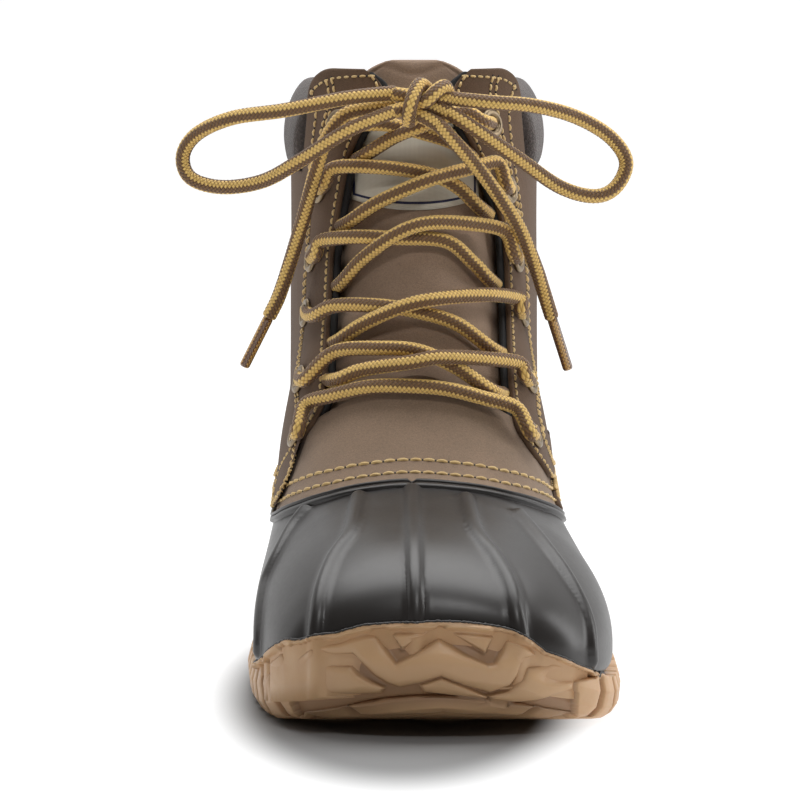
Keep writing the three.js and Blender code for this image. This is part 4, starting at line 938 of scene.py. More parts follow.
# %% Collar
PAD_OUT, PAD_IN = 2.7, 3.2
PAD_SECTION = np.array([[-3.4, 0.05], [-1.2, 0.0], [0.3, 0.0], [1.3, 0.04], [2.2, 0.14], [2.7, 0.34], [2.1, 0.56],
                        [0.2, 0.78], [-2.6, 0.94], [-5.2, 1.0], [-7.4, 0.94], [-8.2, 0.74], [-6.6, 0.4]])
section = curve_through(np.column_stack([PAD_SECTION, np.zeros(len(PAD_SECTION))]) * [1, 30, 0], 65, closed=True)[:-1]
section[:, 1] /= 30
around = np.linspace(0, 1, 210)
behind = 0.5 - 0.5 * np.cos(2 * np.pi * around)
top_z = INSTEP + SHAFT * (0.905 - 0.02 * behind)
pad_z = COLLAR_LOW + (top_z - COLLAR_LOW)[:, None] * section[None, :, 1]
front_y = back_line(np.maximum(pad_z, COLLAR_LOW)) + 0.3
start_in = np.abs(angle_at_back(pad_z, front_y, 1))
start_out = np.abs(angle_at_back(pad_z, front_y, -1))
pad_a = start_in * (1 - around[:, None]) + (2 * np.pi - start_out) * around[:, None]
pad_a = np.where(pad_a > np.pi, pad_a - 2 * np.pi, pad_a)
pad_u = section_at_height(pad_a, pad_z)
run = np.minimum(around, 1 - around)[:, None] * 230
plump = np.sqrt(1 - np.clip(1 - run / 3.0, 0, 1) ** 2)
wave = 1 + 0.03 * np.sin(2 * np.pi * around[:, None] * 9 + 1) + 0.02 * np.sin(2 * np.pi * around[:, None] * 23)
pad_t = -0.4 + (section[None, :, 0] + 0.4) * (0.35 + 0.65 * plump) * np.where(section[None, :, 0] > 0, wave, 1)
pad = shifted(pad_u, pad_a, pad_t)
faces = grid_faces(len(around), len(section), closed=True).tolist()
faces.append(tuple(range(len(section)))[::-1])
faces.append(tuple((len(around) - 1) * len(section) + k for k in range(len(section))))
collar = finish_piece("collar_pad", weld(mesh_from("collar_pad", pad.reshape(-1, 3), faces)), SUEDE,
                      ["collar"])

# %% Tongue
TONGUE_SKIN, TONGUE_THICK = -3.6, 5.0
TONGUE_HALF, TONGUE_TOP_HALF, TONGUE_SHOULDER = 0.31, 0.128, 0.8


def tongue_place(i, j):
    """Section number and angle at a share across and up the tongue."""
    low = section_at_height(np.zeros(1), np.array([0.78 * INSTEP]))[0]
    high = section_at_height(np.zeros(1), np.array([INSTEP + 1.012 * SHAFT]))[0]
    u = low * (1 - j) + high * j
    taper = np.clip((j - TONGUE_SHOULDER) / (1 - TONGUE_SHOULDER), 0, 1)
    half = TONGUE_HALF + (TONGUE_TOP_HALF - TONGUE_HALF) * taper ** 1.5
    half = half * (1 - 0.42 * np.clip((j - 0.955) / 0.045, 0, 1) ** 3)
    wide = smooth_rows(SECTIONS, u)[..., 7]
    return u, (2 * i - 1) * np.arcsin(np.minimum(half / wide, 0.97))


across = (1 - np.cos(np.linspace(0, np.pi, 72))) / 2
upward = np.concatenate([np.linspace(0, 0.93, 90), 1 - 0.07 * np.cos(np.linspace(0, np.pi / 2, 18))[1:]])
i, j = np.meshgrid(across, upward)
tongue_u, tongue_a = tongue_place(i, j)
base = skin(tongue_u, tongue_a)
edge = np.minimum(edge_run(base, 1), edge_run(base, 1, back=True))
edge = np.minimum(edge, edge_run(base, 0, back=True))
fall = rounded(edge, 3.2) * 0.62
quilt = 0.35 * np.exp(-((edge - 5.0) / 0.9) ** 2)
face = TONGUE_SKIN - fall - quilt
rear = TONGUE_SKIN - TONGUE_THICK + fall
tongue = weld(wall_mesh("tongue_pad", shifted(tongue_u, tongue_a, face), shifted(tongue_u, tongue_a, rear)))
# The tongue's lighter nubuck is partly painted light.
tongue = finish_piece("tongue_pad", tongue, TONGUE_TONE_AND_LIGHT, ["tongue"])

# %% [markdown]
# ## The woven patch
# A pale woven patch is sewn on the tongue under the laces. It is kept bare here, with a plain dark border, and
# its weave is a lattice of ribs in its own UV map, in millimetres.

# %% Patch
LABEL_LOW, LABEL_SAG, LABEL_TOP, LABEL_REACH = 0.515, 0.02, 0.792, 0.593


def patch_finish():
    material = bpy.data.materials.new("label_weave")
    material.use_nodes = True
    tree = material.node_tree
    shade = tree.nodes["Principled BSDF"]
    split = node(tree, "ShaderNodeSeparateXYZ", [(0, node(tree, "ShaderNodeTexCoord").outputs["UV"])])

    def maths(operation, *values):
        return node(tree, "ShaderNodeMath", list(enumerate(values)), operation=operation).outputs[0]

    warp = maths("ABSOLUTE", maths("SINE", maths("MULTIPLY", split.outputs[0], math.pi * 110)))
    weft = maths("ABSOLUTE", maths("SINE", maths("MULTIPLY", split.outputs[1], math.pi * 70)))
    weave = maths("MULTIPLY", warp, weft)
    side = maths("MINIMUM", split.outputs[0], maths("SUBTRACT", 1.0, split.outputs[0]))
    foot = maths("MULTIPLY", maths("MINIMUM", split.outputs[1], maths("SUBTRACT", 1.0, split.outputs[1])), 0.62)
    inset = maths("MINIMUM", side, foot)
    border = maths("MULTIPLY", maths("GREATER_THAN", inset, 0.035), maths("LESS_THAN", inset, 0.052))
    # The cloth is lighter on the threads' crests and darker between them: painted shade.
    cloth_with_weave_shade = node(tree, "ShaderNodeMix", [(0, weave), (6, linear(196, 188, 170)), (7, linear(228, 222, 208))],
                 data_type="RGBA")
    colour = node(tree, "ShaderNodeMix", [(0, border), (6, cloth_with_weave_shade.outputs[2]), (7, linear(38, 42, 74))],
                  data_type="RGBA")
    tree.links.new(colour.outputs[2], shade.inputs["Base Color"])
    raised = node(tree, "ShaderNodeBump", [("Strength", 0.4), ("Distance", 0.0002), ("Height", weave)])
    tree.links.new(raised.outputs[0], shade.inputs["Normal"])
    shade.inputs["Roughness"].default_value = 0.75
    return material


i, j = np.meshgrid(np.linspace(0, 1, 50), np.linspace(0, 1, 26))
label_a = (2 * i - 1) * LABEL_REACH
low = section_at_height(label_a, INSTEP + SHAFT * (LABEL_LOW + LABEL_SAG * (2 * i - 1) ** 2))
high = section_at_height(label_a, np.full(i.shape, INSTEP + SHAFT * LABEL_TOP))
label_u = low * (1 - j) + high * j
base = skin(label_u, label_a)
edge = np.minimum(np.minimum(edge_run(base, 1), edge_run(base, 1, back=True)),
                  np.minimum(edge_run(base, 0), edge_run(base, 0, back=True)))
face = TONGUE_SKIN + 0.75 - rounded(edge, 0.35)
label = weld(wall_mesh("tongue_patch", shifted(label_u, label_a, face),
                       shifted(label_u, label_a, np.full(i.shape, TONGUE_SKIN + 0.25)), uv=np.stack([i, j], -1)))
finish_piece("tongue_patch", label, patch_finish(), ["tongue_label"])

# %% [markdown]
# ## Laced strands
# Each strand comes up from under one eyestay, crosses the tongue and dips into an eyelet on the other side. Its
# middle is given as seen from the front, with its height off the last, so it lies on the boot by itself. The
# strand that runs to the inner side lies on top, as in the photograph.

# %% Strands
EYELETS = np.array([[0.338, 69.6], [0.33, 84.0], [0.316, 101.9], [0.3, 118.2], [0.277, 139.0], [0.224, 159.1]])
LACE_OVER = 5.1
CROSSINGS = [
    {"outer": [[17.4, 83.8, 2.8], [7.4, 90.4, 2.8], [-3.8, 95.2, 2.8], [-15.5, 95.9, 2.8], [-28.6, 94.1, 3.8]],
     "inner": [[-27.4, 86.8, 2.8], [-20.2, 90, 3.8], [-6.4, 92.7, 6.8], [2.6, 94, 6.8], [16.6, 92.6, 4.8],
               [25.9, 90.4, 5.1]]},
    {"outer": [[17.6, 94.6, -0.4], [7.5, 102.1, -0.4], [-3.7, 105.6, -0.4], [-15.6, 107.3, 0.6], [-28.7, 106.7, 3.7]],
     "inner": [[-27.6, 96.6, -0.4], [-20.3, 102, 0.6], [-8.2, 107.8, 3.6], [2.8, 109.9, 3.6], [16.9, 109.9, 3.2],
               [26.4, 107.6, 5.1]]},
    {"outer": [[17, 113.9, -0.4], [12.2, 119.1, -0.4], [4.1, 125.5, -0.4], [-11.2, 126.5, 0.4], [-23.1, 126.5, 3],
               [-32.8, 124.7, 5.1]],
     "inner": [[-26.6, 112.9, -0.4], [-20.4, 120.2, 0.6], [-10.3, 128, 3.6], [-0.7, 131.1, 3.6], [12.2, 130.3, 3],
               [21.9, 127.7, 5.1]]},
    {"outer": [[14.2, 135, 0.6], [7.8, 141, 0.6], [-0.7, 144.9, 0.6], [-15.7, 146.9, 1.8], [-29, 146.3, 5.1]],
     "inner": [[-24.8, 130.3, 0.6], [-15.7, 136.8, 1.6], [-1.6, 143.2, 4.6], [12.3, 146.6, 4.2], [19.9, 147.7, 5.1]]},
    {"outer": [[10.8, 150.6, 0.6], [6.9, 153.8, 0.6], [-1.5, 156.6, 0.6], [-13.4, 159.5, 3.2]],
     "inner": [[-19.8, 150.2, 0.6], [-11.2, 155.7, 1.6], [-3.7, 158.9, 4.6], [8.8, 163.2, 4.8]]},
]
BAR = [[-37.1, 79.2, 5.1], [-29.3, 82.3, 3.4], [-18.1, 85.3, 2.8], [-6.7, 85.7, 2.8], [4.4, 84.8, 2.8],
       [15.5, 81.9, 3.4], [24.7, 78.7, 5.1]]
eyelet_spots = {}
for side, sign in (("outer", -1), ("inner", 1)):
    eyelet_spots[side] = np.column_stack([RIDGE_X + sign * EYELETS[:, 0] * BALL, EYELETS[:, 1]])


def dive(before, spot):
    """The last points of a strand: over the eyelet's near lip and down its bore."""
    way = np.array(before[:2]) - spot
    way = way / np.linalg.norm(way)
    return [[*(spot + way * 3.4), LACE_OVER], [*(spot + way * 1.2), LACE_OVER - 1.6], [*(spot + way * 0.2), 0.8],
            [*(spot + way * 0.1), -2.6]]


def tuck(rows):
    """Points before a strand's first one, down under the eyestay's edge."""
    first, second = np.array(rows[0]), np.array(rows[1])
    way = (first - second)[:2] / np.linalg.norm((first - second)[:2])
    return [[*(first[:2] + way * 9.5), -5.4], [*(first[:2] + way * 5.2), min(first[2], 0) - 2.8]]


def on_boot(rows):
    rows = np.array(rows, float)
    u, a = on_front(rows[:, 0], rows[:, 1], rows[:, 2])
    return shifted(u, a, rows[:, 2])


bar_run = (dive(BAR[0], eyelet_spots["outer"][0])[::-1] + BAR + dive(BAR[-1], eyelet_spots["inner"][0]))
finish_piece("lace_straight", tube_mesh("lace_straight", [on_boot(bar_run)], LACE_R, 27, 0.47, 0.3, 0.2), LACE,
             ["lace_bar"])
for row, pair in enumerate(CROSSINGS):
    runs = [on_boot(tuck(pair[side]) + pair[side] + dive(pair[side][-1], eyelet_spots[side][row + 1]))
            for side in ("outer", "inner")]
    finish_piece(f"lace_cross_{row + 1}", tube_mesh(f"lace_cross_{row + 1}", runs, LACE_R, 27, 0.47, 0.3, 0.2), LACE,
                 [f"lace_crossing_{row + 1}"])

# %% [markdown]
# ## Repeats: eyelets and stitches
# Eyelets and stitches are the same small thing many times, so Geometry Nodes places them. The input is a mesh of
# points or lines on the boot that carries the surface's outward direction, and the tree turns each copy to it.
# The result is made into a plain mesh, because the export and the checks read plain meshes.

# %% Geometry Nodes helpers
def geometry_tree(name, inputs):
    tree = bpy.data.node_groups.new(name, "GeometryNodeTree")
    tree.interface.new_socket("Geometry", in_out="INPUT", socket_type="NodeSocketGeometry")
    for label, kind, value in inputs:
        socket = tree.interface.new_socket(label, in_out="INPUT", socket_type=kind)
        if value is not None:
            socket.default_value = value
    tree.interface.new_socket("Geometry", in_out="OUTPUT", socket_type="NodeSocketGeometry")
    return tree, tree.nodes.new("NodeGroupInput"), tree.nodes.new("NodeGroupOutput")


def facing_rotation(tree, tangent=None):
    """A rotation that turns Z to the facing direction, and X along the line where there is one."""
    facing = node(tree, "GeometryNodeInputNamedAttribute", [("Name", "facing")], data_type="FLOAT_VECTOR")
    stand = node(tree, "FunctionNodeAlignRotationToVector", [("Vector", facing.outputs["Attribute"])], axis="Z")
    if tangent is None:
        return stand.outputs[0]
    turned = node(tree, "FunctionNodeAlignRotationToVector", [("Rotation", stand.outputs[0]), ("Vector", tangent)],
                  axis="X", pivot_axis="Z")
    return turned.outputs[0]


def set_inputs(modifier, tree, **values):
    for item in tree.interface.items_tree:
        if item.item_type == "SOCKET" and item.in_out == "INPUT" and item.name in values:
            modifier[item.identifier] = values[item.name]


def facing_mesh(name, lines):
    """A mesh of points, or of lines of points, with the outward direction at each."""
    points = np.concatenate([line for line, _ in lines])
    facing = np.concatenate([out for _, out in lines])
    edges, start = [], 0
    for line, _ in lines:
        edges += [(start + k, start + k + 1) for k in range(len(line) - 1)]
        start += len(line)
    mesh = bpy.data.meshes.new(name)
    mesh.from_pydata((points * MM).tolist(), edges, [])
    mesh.attributes.new("facing", "FLOAT_VECTOR", "POINT").data.foreach_set("vector", facing.ravel())
    return mesh


def grown(name, lines, tree, **values):
    """Runs a tree over lines and keeps its result as a plain mesh."""
    seed = new_object(name, facing_mesh(name, lines))
    modifier = seed.modifiers.new("grow", "NODES")
    modifier.node_group = tree
    set_inputs(modifier, tree, **values)
    bpy.context.view_layer.update()
    done = bpy.data.meshes.new_from_object(seed.evaluated_get(bpy.context.evaluated_depsgraph_get()))
    seed.modifiers.clear()
    bpy.data.objects.remove(seed)
    done.name = name
    return done


# %% Eyelets
def eyelet_tree():
    tree, given, out = geometry_tree("eyelets", [("Ring", "NodeSocketFloat", 0.0034), ("Roll", "NodeSocketFloat", 0.001),
                                                 ("Material", "NodeSocketMaterial", None)])
    ring_line = node(tree, "GeometryNodeCurvePrimitiveCircle", [("Resolution", 40), ("Radius", given.outputs["Ring"])])
    roll_line = node(tree, "GeometryNodeCurvePrimitiveCircle", [("Resolution", 14), ("Radius", given.outputs["Roll"])])
    ring = node(tree, "GeometryNodeCurveToMesh", [("Curve", ring_line.outputs[0]),
                                                  ("Profile Curve", roll_line.outputs[0])])
    flat = node(tree, "GeometryNodeTransform", [("Geometry", ring.outputs[0]), ("Scale", (1.0, 1.0, 0.8)),
                                                ("Translation", (0.0, 0.0, 0.00025))])
    tube_line = node(tree, "GeometryNodeCurvePrimitiveCircle", [("Resolution", 40), ("Radius", 0.0026)])
    wall_line = node(tree, "GeometryNodeCurvePrimitiveQuadrilateral", [("Width", 0.0004), ("Height", 0.0034)])
    barrel = node(tree, "GeometryNodeCurveToMesh", [("Curve", tube_line.outputs[0]),
                                                    ("Profile Curve", wall_line.outputs[0])])
    low = node(tree, "GeometryNodeTransform", [("Geometry", barrel.outputs[0]), ("Translation", (0.0, 0.0, -0.0013))])
    both = node(tree, "GeometryNodeJoinGeometry")
    tree.links.new(flat.outputs[0], both.inputs[0])
    tree.links.new(low.outputs[0], both.inputs[0])
    copies = node(tree, "GeometryNodeInstanceOnPoints", [("Points", given.outputs["Geometry"]),
                                                         ("Instance", both.outputs[0]),
                                                         ("Rotation", facing_rotation(tree))])
    real = node(tree, "GeometryNodeRealizeInstances", [(0, copies.outputs[0])])
    smooth = node(tree, "GeometryNodeSetShadeSmooth", [(0, real.outputs[0])])
    made = node(tree, "GeometryNodeSetMaterial", [("Geometry", smooth.outputs[0]),
                                                  ("Material", given.outputs["Material"])])
    tree.links.new(made.outputs[0], out.inputs[0])
    return tree


spots = np.concatenate([eyelet_spots["outer"], eyelet_spots["inner"]])
spot_u, spot_a = on_front(spots[:, 0], spots[:, 1], LEATHER_OUT + 0.3)
eyelet_mesh = grown("eyelets", [(shifted(spot_u[k:k + 1], spot_a[k:k + 1], LEATHER_OUT + 0.45),
                                 outward(spot_u[k:k + 1], spot_a[k:k + 1])) for k in range(len(spots))],
                    eyelet_tree(), Material=BRASS)
finish_piece("eyelets", eyelet_mesh, BRASS,
             [f"eyelet_{side}_{k}" for side in ("outer", "inner") for k in range(1, 7)])


# %% Stitches
def stitch_tree():
    """Stitches along lines: each is a thread that arches between two holes."""
    tree, given, out = geometry_tree("stitches", [("Pitch", "NodeSocketFloat", 0.0035), ("Length", "NodeSocketFloat", 0.0028),
                                                  ("Thread", "NodeSocketFloat", 0.0004),
                                                  ("Material", "NodeSocketMaterial", None),
                                                  ("Hole shade material", "NodeSocketMaterial", None)])
    line = node(tree, "GeometryNodeMeshToCurve", [("Mesh", given.outputs["Geometry"])])
    even = node(tree, "GeometryNodeResampleCurve", [("Curve", line.outputs[0]), ("Length", given.outputs["Pitch"])],
                mode="LENGTH")
    half = node(tree, "ShaderNodeMath", [(0, given.outputs["Length"]), (1, 0.5)], operation="MULTIPLY").outputs[0]
    back = node(tree, "ShaderNodeMath", [(0, half), (1, -1.0)], operation="MULTIPLY").outputs[0]
    start = node(tree, "ShaderNodeCombineXYZ", [(0, back), (2, -0.0004)])
    crown = node(tree, "ShaderNodeCombineXYZ", [(2, 0.0008)])
    finish_ = node(tree, "ShaderNodeCombineXYZ", [(0, half), (2, -0.0004)])
    arch = node(tree, "GeometryNodeCurveQuadraticBezier", [("Resolution", 6), ("Start", start.outputs[0]),
                                                           ("Middle", crown.outputs[0]), ("End", finish_.outputs[0])])
    round_ = node(tree, "GeometryNodeCurvePrimitiveCircle", [("Resolution", 6), ("Radius", given.outputs["Thread"])])
    thread = node(tree, "GeometryNodeCurveToMesh", [("Curve", arch.outputs[0]), ("Profile Curve", round_.outputs[0]),
                                                    ("Fill Caps", True)])
    threads = node(tree, "GeometryNodeSetMaterial", [("Geometry", thread.outputs[0]),
                                                     ("Material", given.outputs["Material"])])
    # A flat near-black disc at each stitch hole: painted shade of the hole.
    ball = node(tree, "GeometryNodeMeshUVSphere", [("Segments", 6), ("Rings", 4), ("Radius", 0.00048)])
    beside = node(tree, "ShaderNodeMath", [(0, given.outputs["Pitch"]), (1, 0.5)], operation="MULTIPLY").outputs[0]
    at = node(tree, "ShaderNodeCombineXYZ", [(0, beside)])
    hole = node(tree, "GeometryNodeTransform", [("Geometry", ball.outputs["Mesh"]), ("Translation", at.outputs[0]),
                                                ("Scale", (1.0, 0.8, 0.25))])
    holes = node(tree, "GeometryNodeSetMaterial", [("Geometry", hole.outputs[0]),
                                                   ("Material", given.outputs["Hole shade material"])])
    both = node(tree, "GeometryNodeJoinGeometry")
    tree.links.new(threads.outputs[0], both.inputs[0])
    tree.links.new(holes.outputs[0], both.inputs[0])
    tangent = node(tree, "GeometryNodeInputTangent").outputs[0]
    copies = node(tree, "GeometryNodeInstanceOnPoints", [("Points", even.outputs[0]), ("Instance", both.outputs[0]),
                                                         ("Rotation", facing_rotation(tree, tangent))])
    real = node(tree, "GeometryNodeRealizeInstances", [(0, copies.outputs[0])])
    smooth = node(tree, "GeometryNodeSetShadeSmooth", [(0, real.outputs[0])])
    tree.links.new(smooth.outputs[0], out.inputs[0])
    return tree


STITCHES = stitch_tree()


def surface_line(u, a, lift):
    """A line on the boot at a lift off the last, with the outward direction at each point."""
    return shifted(u, a, np.broadcast_to(lift, np.shape(u))), outward(u, a)


def quarter_line(side, gap, rows=slice(None)):
    """A line on a quarter, some millimetres in from the throat's edge."""
    u, a, _, front_run = quarter_grids[side]
    gap = np.broadcast_to(gap, len(u))
    at_u = np.array([np.interp(gap[k], front_run[k], u[k]) for k in range(len(u))])[rows]
    at_a = np.array([np.interp(gap[k], front_run[k], a[k]) for k in range(len(u))])[rows]
    lift = LEATHER_OUT + 0.25 * np.sin(np.clip(gap[rows] / 24, 0, 1) * np.pi) + 0.05
    return surface_line(at_u, at_a, lift)


thread_lines, long_lines = [], []
for side, sign in (("outer", -1), ("inner", 1)):
    u, a, low_row, front_run = quarter_grids[side]
    rear = len(EYESTAY_COLUMNS)
    last_row = len(u) - 7
    wide = front_run[:, rear - 1].min()
    edge_z = skin(u[:, 0], a[:, 0])[:, 2]
    high = np.clip((edge_z - 118) / 34, 0, 1)
    high = high * high * (3 - 2 * high)
    peak = np.clip((edge_z - 148) / 26, 0, 1) ** 2
    thread_lines.append(quarter_line(side, 1.9, slice(3, last_row)))
    for gap in (1.6, 3.9):
        thread_lines.append(quarter_line(side, wide - gap - 4.2 * high - 4.5 * peak, slice(6, last_row)))
    thread_lines.append(quarter_line(side, wide - 1.5 + 0 * high, slice(int(np.argmax(edge_z > 140)), last_row + 1)))
    top_gaps = np.linspace(1.9, wide - 1.5, 40)
    flap_u, flap_a = np.interp(top_gaps, front_run[last_row], u[last_row]), np.interp(top_gaps, front_run[last_row],
                                                                                        a[last_row])
    thread_lines.append(surface_line(flap_u, flap_a, LEATHER_OUT + 0.1))
    behind = slice(rear + 18, None)
    collar_u = section_at_height(a[low_row, behind], np.full(len(a[low_row, behind]), COLLAR_LOW - 3.0))
    thread_lines.append(surface_line(collar_u, a[low_row, behind], LEATHER_OUT - EYESTAY_STEP + 0.05))
    for height in (5.8, 11.8):
        turn = sign * np.linspace(abs(a[0, 0]) + 0.12, np.pi - 0.06, 240)
        line_u = above_rim(turn, height)
        on_eyestay = np.abs(turn) < abs(a[0, rear - 1])
        lift = np.where(on_eyestay, LEATHER_OUT + 0.1, LEATHER_OUT - EYESTAY_STEP + 0.08)
        long_lines.append((shifted(line_u, turn, lift), outward(line_u, turn)))
for side, sign in (("outer", -1), ("inner", 1)):
    u, a, _, front_run = quarter_grids[side]
    for (d0, h0), (d1, h1) in (((2, 3), (8.5, 9)), ((4.5, 2.5), (10, 7.5)), ((1.8, 6.5), (6.5, 10.5)),
                               ((2.2, 9), (8.5, 3)), ((5, 10), (10, 5))):
        gap, height = np.linspace(d0, d1, 20), np.linspace(h0, h1, 20)
        tack_a = np.interp(gap, front_run[6], a[6])
        tack_u = above_rim(tack_a, height)
        thread_lines.append(surface_line(tack_u, tack_a, LEATHER_OUT + 0.15))
for height in (5.8, 11.8):
    limits = []
    for side in ("outer", "inner"):
        u, a, _, _ = quarter_grids[side]
        above = (u[:, 0] - rim_u(a[:, 0])) * per_section(u[:, 0], a[:, 0])
        limits.append(float(a[int(np.argmax(above > height)), 0]))
    turn = np.linspace(limits[0] + 0.03, limits[1] - 0.03, 240)
    line_u = above_rim(turn, height)
    long_lines.append(surface_line(line_u, turn, 0.0))
for name, lines, pitch, length, thick in (("fine_stitches", thread_lines, 0.0026, 0.0019, 0.00038),
                                          ("long_stitches", long_lines, 0.0038, 0.0031, 0.00048)):
    mesh = grown(name, lines, STITCHES, Pitch=pitch, Length=length, Thread=thick, Material=THREAD,
                 **{"Hole shade material": DARK_EDGE_AND_HOLE_SHADE})
    piece = new_object(name, mesh)
    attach(piece, "root")
    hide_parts("upper")
    print(name, "lines:", len(lines), "triangles:", sum(len(p.vertices) - 2 for p in mesh.polygons))

# %% [markdown]
# ## The gum sole
# The sole is a cup of gum rubber round the shell. Its outline is a smooth ring, its side is a few insets by
# height, and its lugs are a mask: one where the rubber stands full, nought in the grooves. Underneath and along the
# sides the mask is a row of zigzag bars. Over the toe the bars grow into big lugs, whose outlines are given as
# seen from the front.

# %% Outline and side of the sole
SIDE_INSETS = np.array([[0, 3], [0.06, 1.9], [0.25, 0.4], [0.6, 0], [1, 1.2]])
ring = np.vstack([OUTLINE[:, [1, 0]], OUTLINE[1:-1][::-1][:, [2, 0]]]) * [BALL, SOLE] - [0, SOLE / 2]


def sole_outline(p):
    """Points of the sole's outline and its inward directions, at places round it from the toe."""
    i = np.floor(p).astype(int)
    t = (p - i)[:, None]
    p0, p1, p2, p3 = (ring[(i + k) % len(ring)] for k in (-1, 0, 1, 2))
    bend = 2 * p0 - 5 * p1 + 4 * p2 - p3
    cubic = 3 * p1 - p0 - 3 * p2 + p3
    point = 0.5 * (2 * p1 + (p2 - p0) * t + bend * t ** 2 + cubic * t ** 3)
    way = unit(p2 - p0 + 2 * bend * t + 3 * cubic * t ** 2)
    return point, np.column_stack([way[:, 1], -way[:, 0]])


dense_p = np.linspace(0, len(ring), 6001)
dense, _ = sole_outline(dense_p[:-1])
steps = np.linalg.norm(np.diff(np.vstack([dense, dense[:1]]), axis=0), axis=1)
fineness = np.where(dense[:, 1] < -75, 2.2, 1.0)
run = np.concatenate([[0], np.cumsum(steps * fineness)])
half_count = 430
half_run = run[3000]
first = np.interp(np.linspace(0, half_run, half_count + 1), run, dense_p)
second = len(ring) - first[1:-1][::-1]
sole_p = np.concatenate([first, second])
edge, inward = sole_outline(sole_p)
edge_back = edge[:, 1] / SOLE + 0.5
sole_floor = np.interp(edge_back, SOLE_SIDE[:, 0], SOLE_SIDE[:, 2]) * 12
sole_top = sole_top_at(edge[:, 0], edge_back)
print("places round the sole:", len(sole_p))

# %% Lug masks
FRONT_LUGS = {
    "left wedge": [[-13.5, 32], [1.0, 32], [0.4, 30.8], [-8.9, 25.4], [-12.3, 29.6]],
    "right wedge": [[2.3, 30.8], [3.4, 32], [15.9, 32], [16.7, 28.9], [14, 24.5]],
    "big zigzag": [[-17.7, 31.5], [-15, 27.2], [-12.3, 23.6], [-10.6, 21.5], [-5.5, 24.2], [1.2, 28.1], [7.9, 24.1],
                   [14.7, 21.2], [16.7, 21.5], [18.7, 24.8], [19.7, 27.8], [22.2, 28.8], [27, 27.2], [30.7, 23.2],
                   [24.9, 22.5], [24.2, 21.2], [22.8, 17.8], [20.9, 15.4], [15.4, 13.4], [8, 15.7], [1.9, 18.2],
                   [-4.1, 16.3], [-9.6, 15.1], [-13, 16.3], [-16.4, 18.3], [-19.7, 21.3], [-22.4, 23.7],
                   [-27.9, 23.1], [-32.4, 24], [-32.7, 25], [-30.5, 27.4], [-24.4, 30]],
    "left second": [[-37.9, 21.3], [-33.4, 25.5], [-32.7, 23.3], [-29.6, 20.4], [-23.1, 20.3], [-21.1, 18],
                    [-17.7, 16.2], [-13.7, 14.8], [-14.9, 13.1], [-21.7, 12.7], [-36.2, 11.7], [-38.4, 13.2],
                    [-39.1, 16.8]],
    "right second": [[25.6, 20.1], [31.1, 20.6], [35.3, 21.7], [38.1, 20.3], [38.8, 16.8], [38.5, 12.7],
                     [35.9, 12.1], [28.4, 10.6], [20.3, 10.1], [15.6, 11], [14.8, 12.5], [20.2, 13.6], [24.2, 17.1]],
    "middle": [[-4.1, 15.7], [1.9, 17.7], [8, 15.3], [14.8, 12.1], [14.2, 11.4], [4.7, 12.6], [-2.9, 13.8]],
}
LUG_PITCH, LUG_WIDTH, ZIG_HALF, ZIG_RISE, ZIG_X, FIRST_BAR = 10.4, 8.3, 15.0, 7.0, 2.4, -9.3


def inside_by(polygon, x, z):
    """Millimetres inside a polygon, negative outside."""
    polygon = np.array(polygon, float)
    gap = np.full(x.shape, 99.0)
    inside = np.zeros(x.shape, bool)
    for (x0, z0), (x1, z1) in zip(polygon, np.roll(polygon, -1, axis=0)):
        along = np.clip(((x - x0) * (x1 - x0) + (z - z0) * (z1 - z0)) / ((x1 - x0) ** 2 + (z1 - z0) ** 2), 0, 1)
        gap = np.minimum(gap, np.hypot(x - x0 - along * (x1 - x0), z - z0 - along * (z1 - z0)))
        crosses = (z0 > z) != (z1 > z)
        level = x0 + (z - z0) * (x1 - x0) / (z1 - z0 if z1 != z0 else 1e-9)
        inside ^= crosses & (x < level)
    return np.where(inside, gap, -gap)


def bars_by(x, along):
    """Millimetres inside the zigzag bars, negative in the grooves."""
    zig = np.abs(((x - ZIG_X) / ZIG_HALF + 1) % 2 - 1)
    place = along - FIRST_BAR - ZIG_RISE * zig
    return LUG_WIDTH / 2 - np.abs((place + LUG_PITCH / 2) % LUG_PITCH - LUG_PITCH / 2)


def relief(inside, depth, soft=2.4):
    """How far in the surface lies: nought on a lug, the depth in a groove, with rounded lug edges."""
    wall = np.clip(0.5 - inside / 0.8, 0, 1)
    wall = wall * wall * (3 - 2 * wall)
    return depth * wall + 0.6 * np.clip(1 - inside / soft, 0, 1) ** 2 * (1 - wall)


# %% Gum sole
SIDE_ROWS, FLOOR_ROWS, GROOVE, CUP_OVER = 64, 34, 2.4, 1.0
shell_tree = BVHTree.FromPolygons([tuple(v.co) for v in shell_mesh.vertices],
                                  [tuple(p.vertices) for p in shell_mesh.polygons])


def shell_inset(z, places, reach=26.0):
    """How far in from the outline the shell's outside lies, at heights round the sole."""
    found = np.full(len(places), 40.0)
    for n, k in enumerate(places):
        origin = Vector((*(edge[k] - inward[k] * 12), z[n])) * MM
        hit = shell_tree.ray_cast(origin, Vector((*inward[k], 0)), (reach + 12) * MM)
        if hit[0] is not None:
            found[n] = hit[3] / MM - 12
    return found


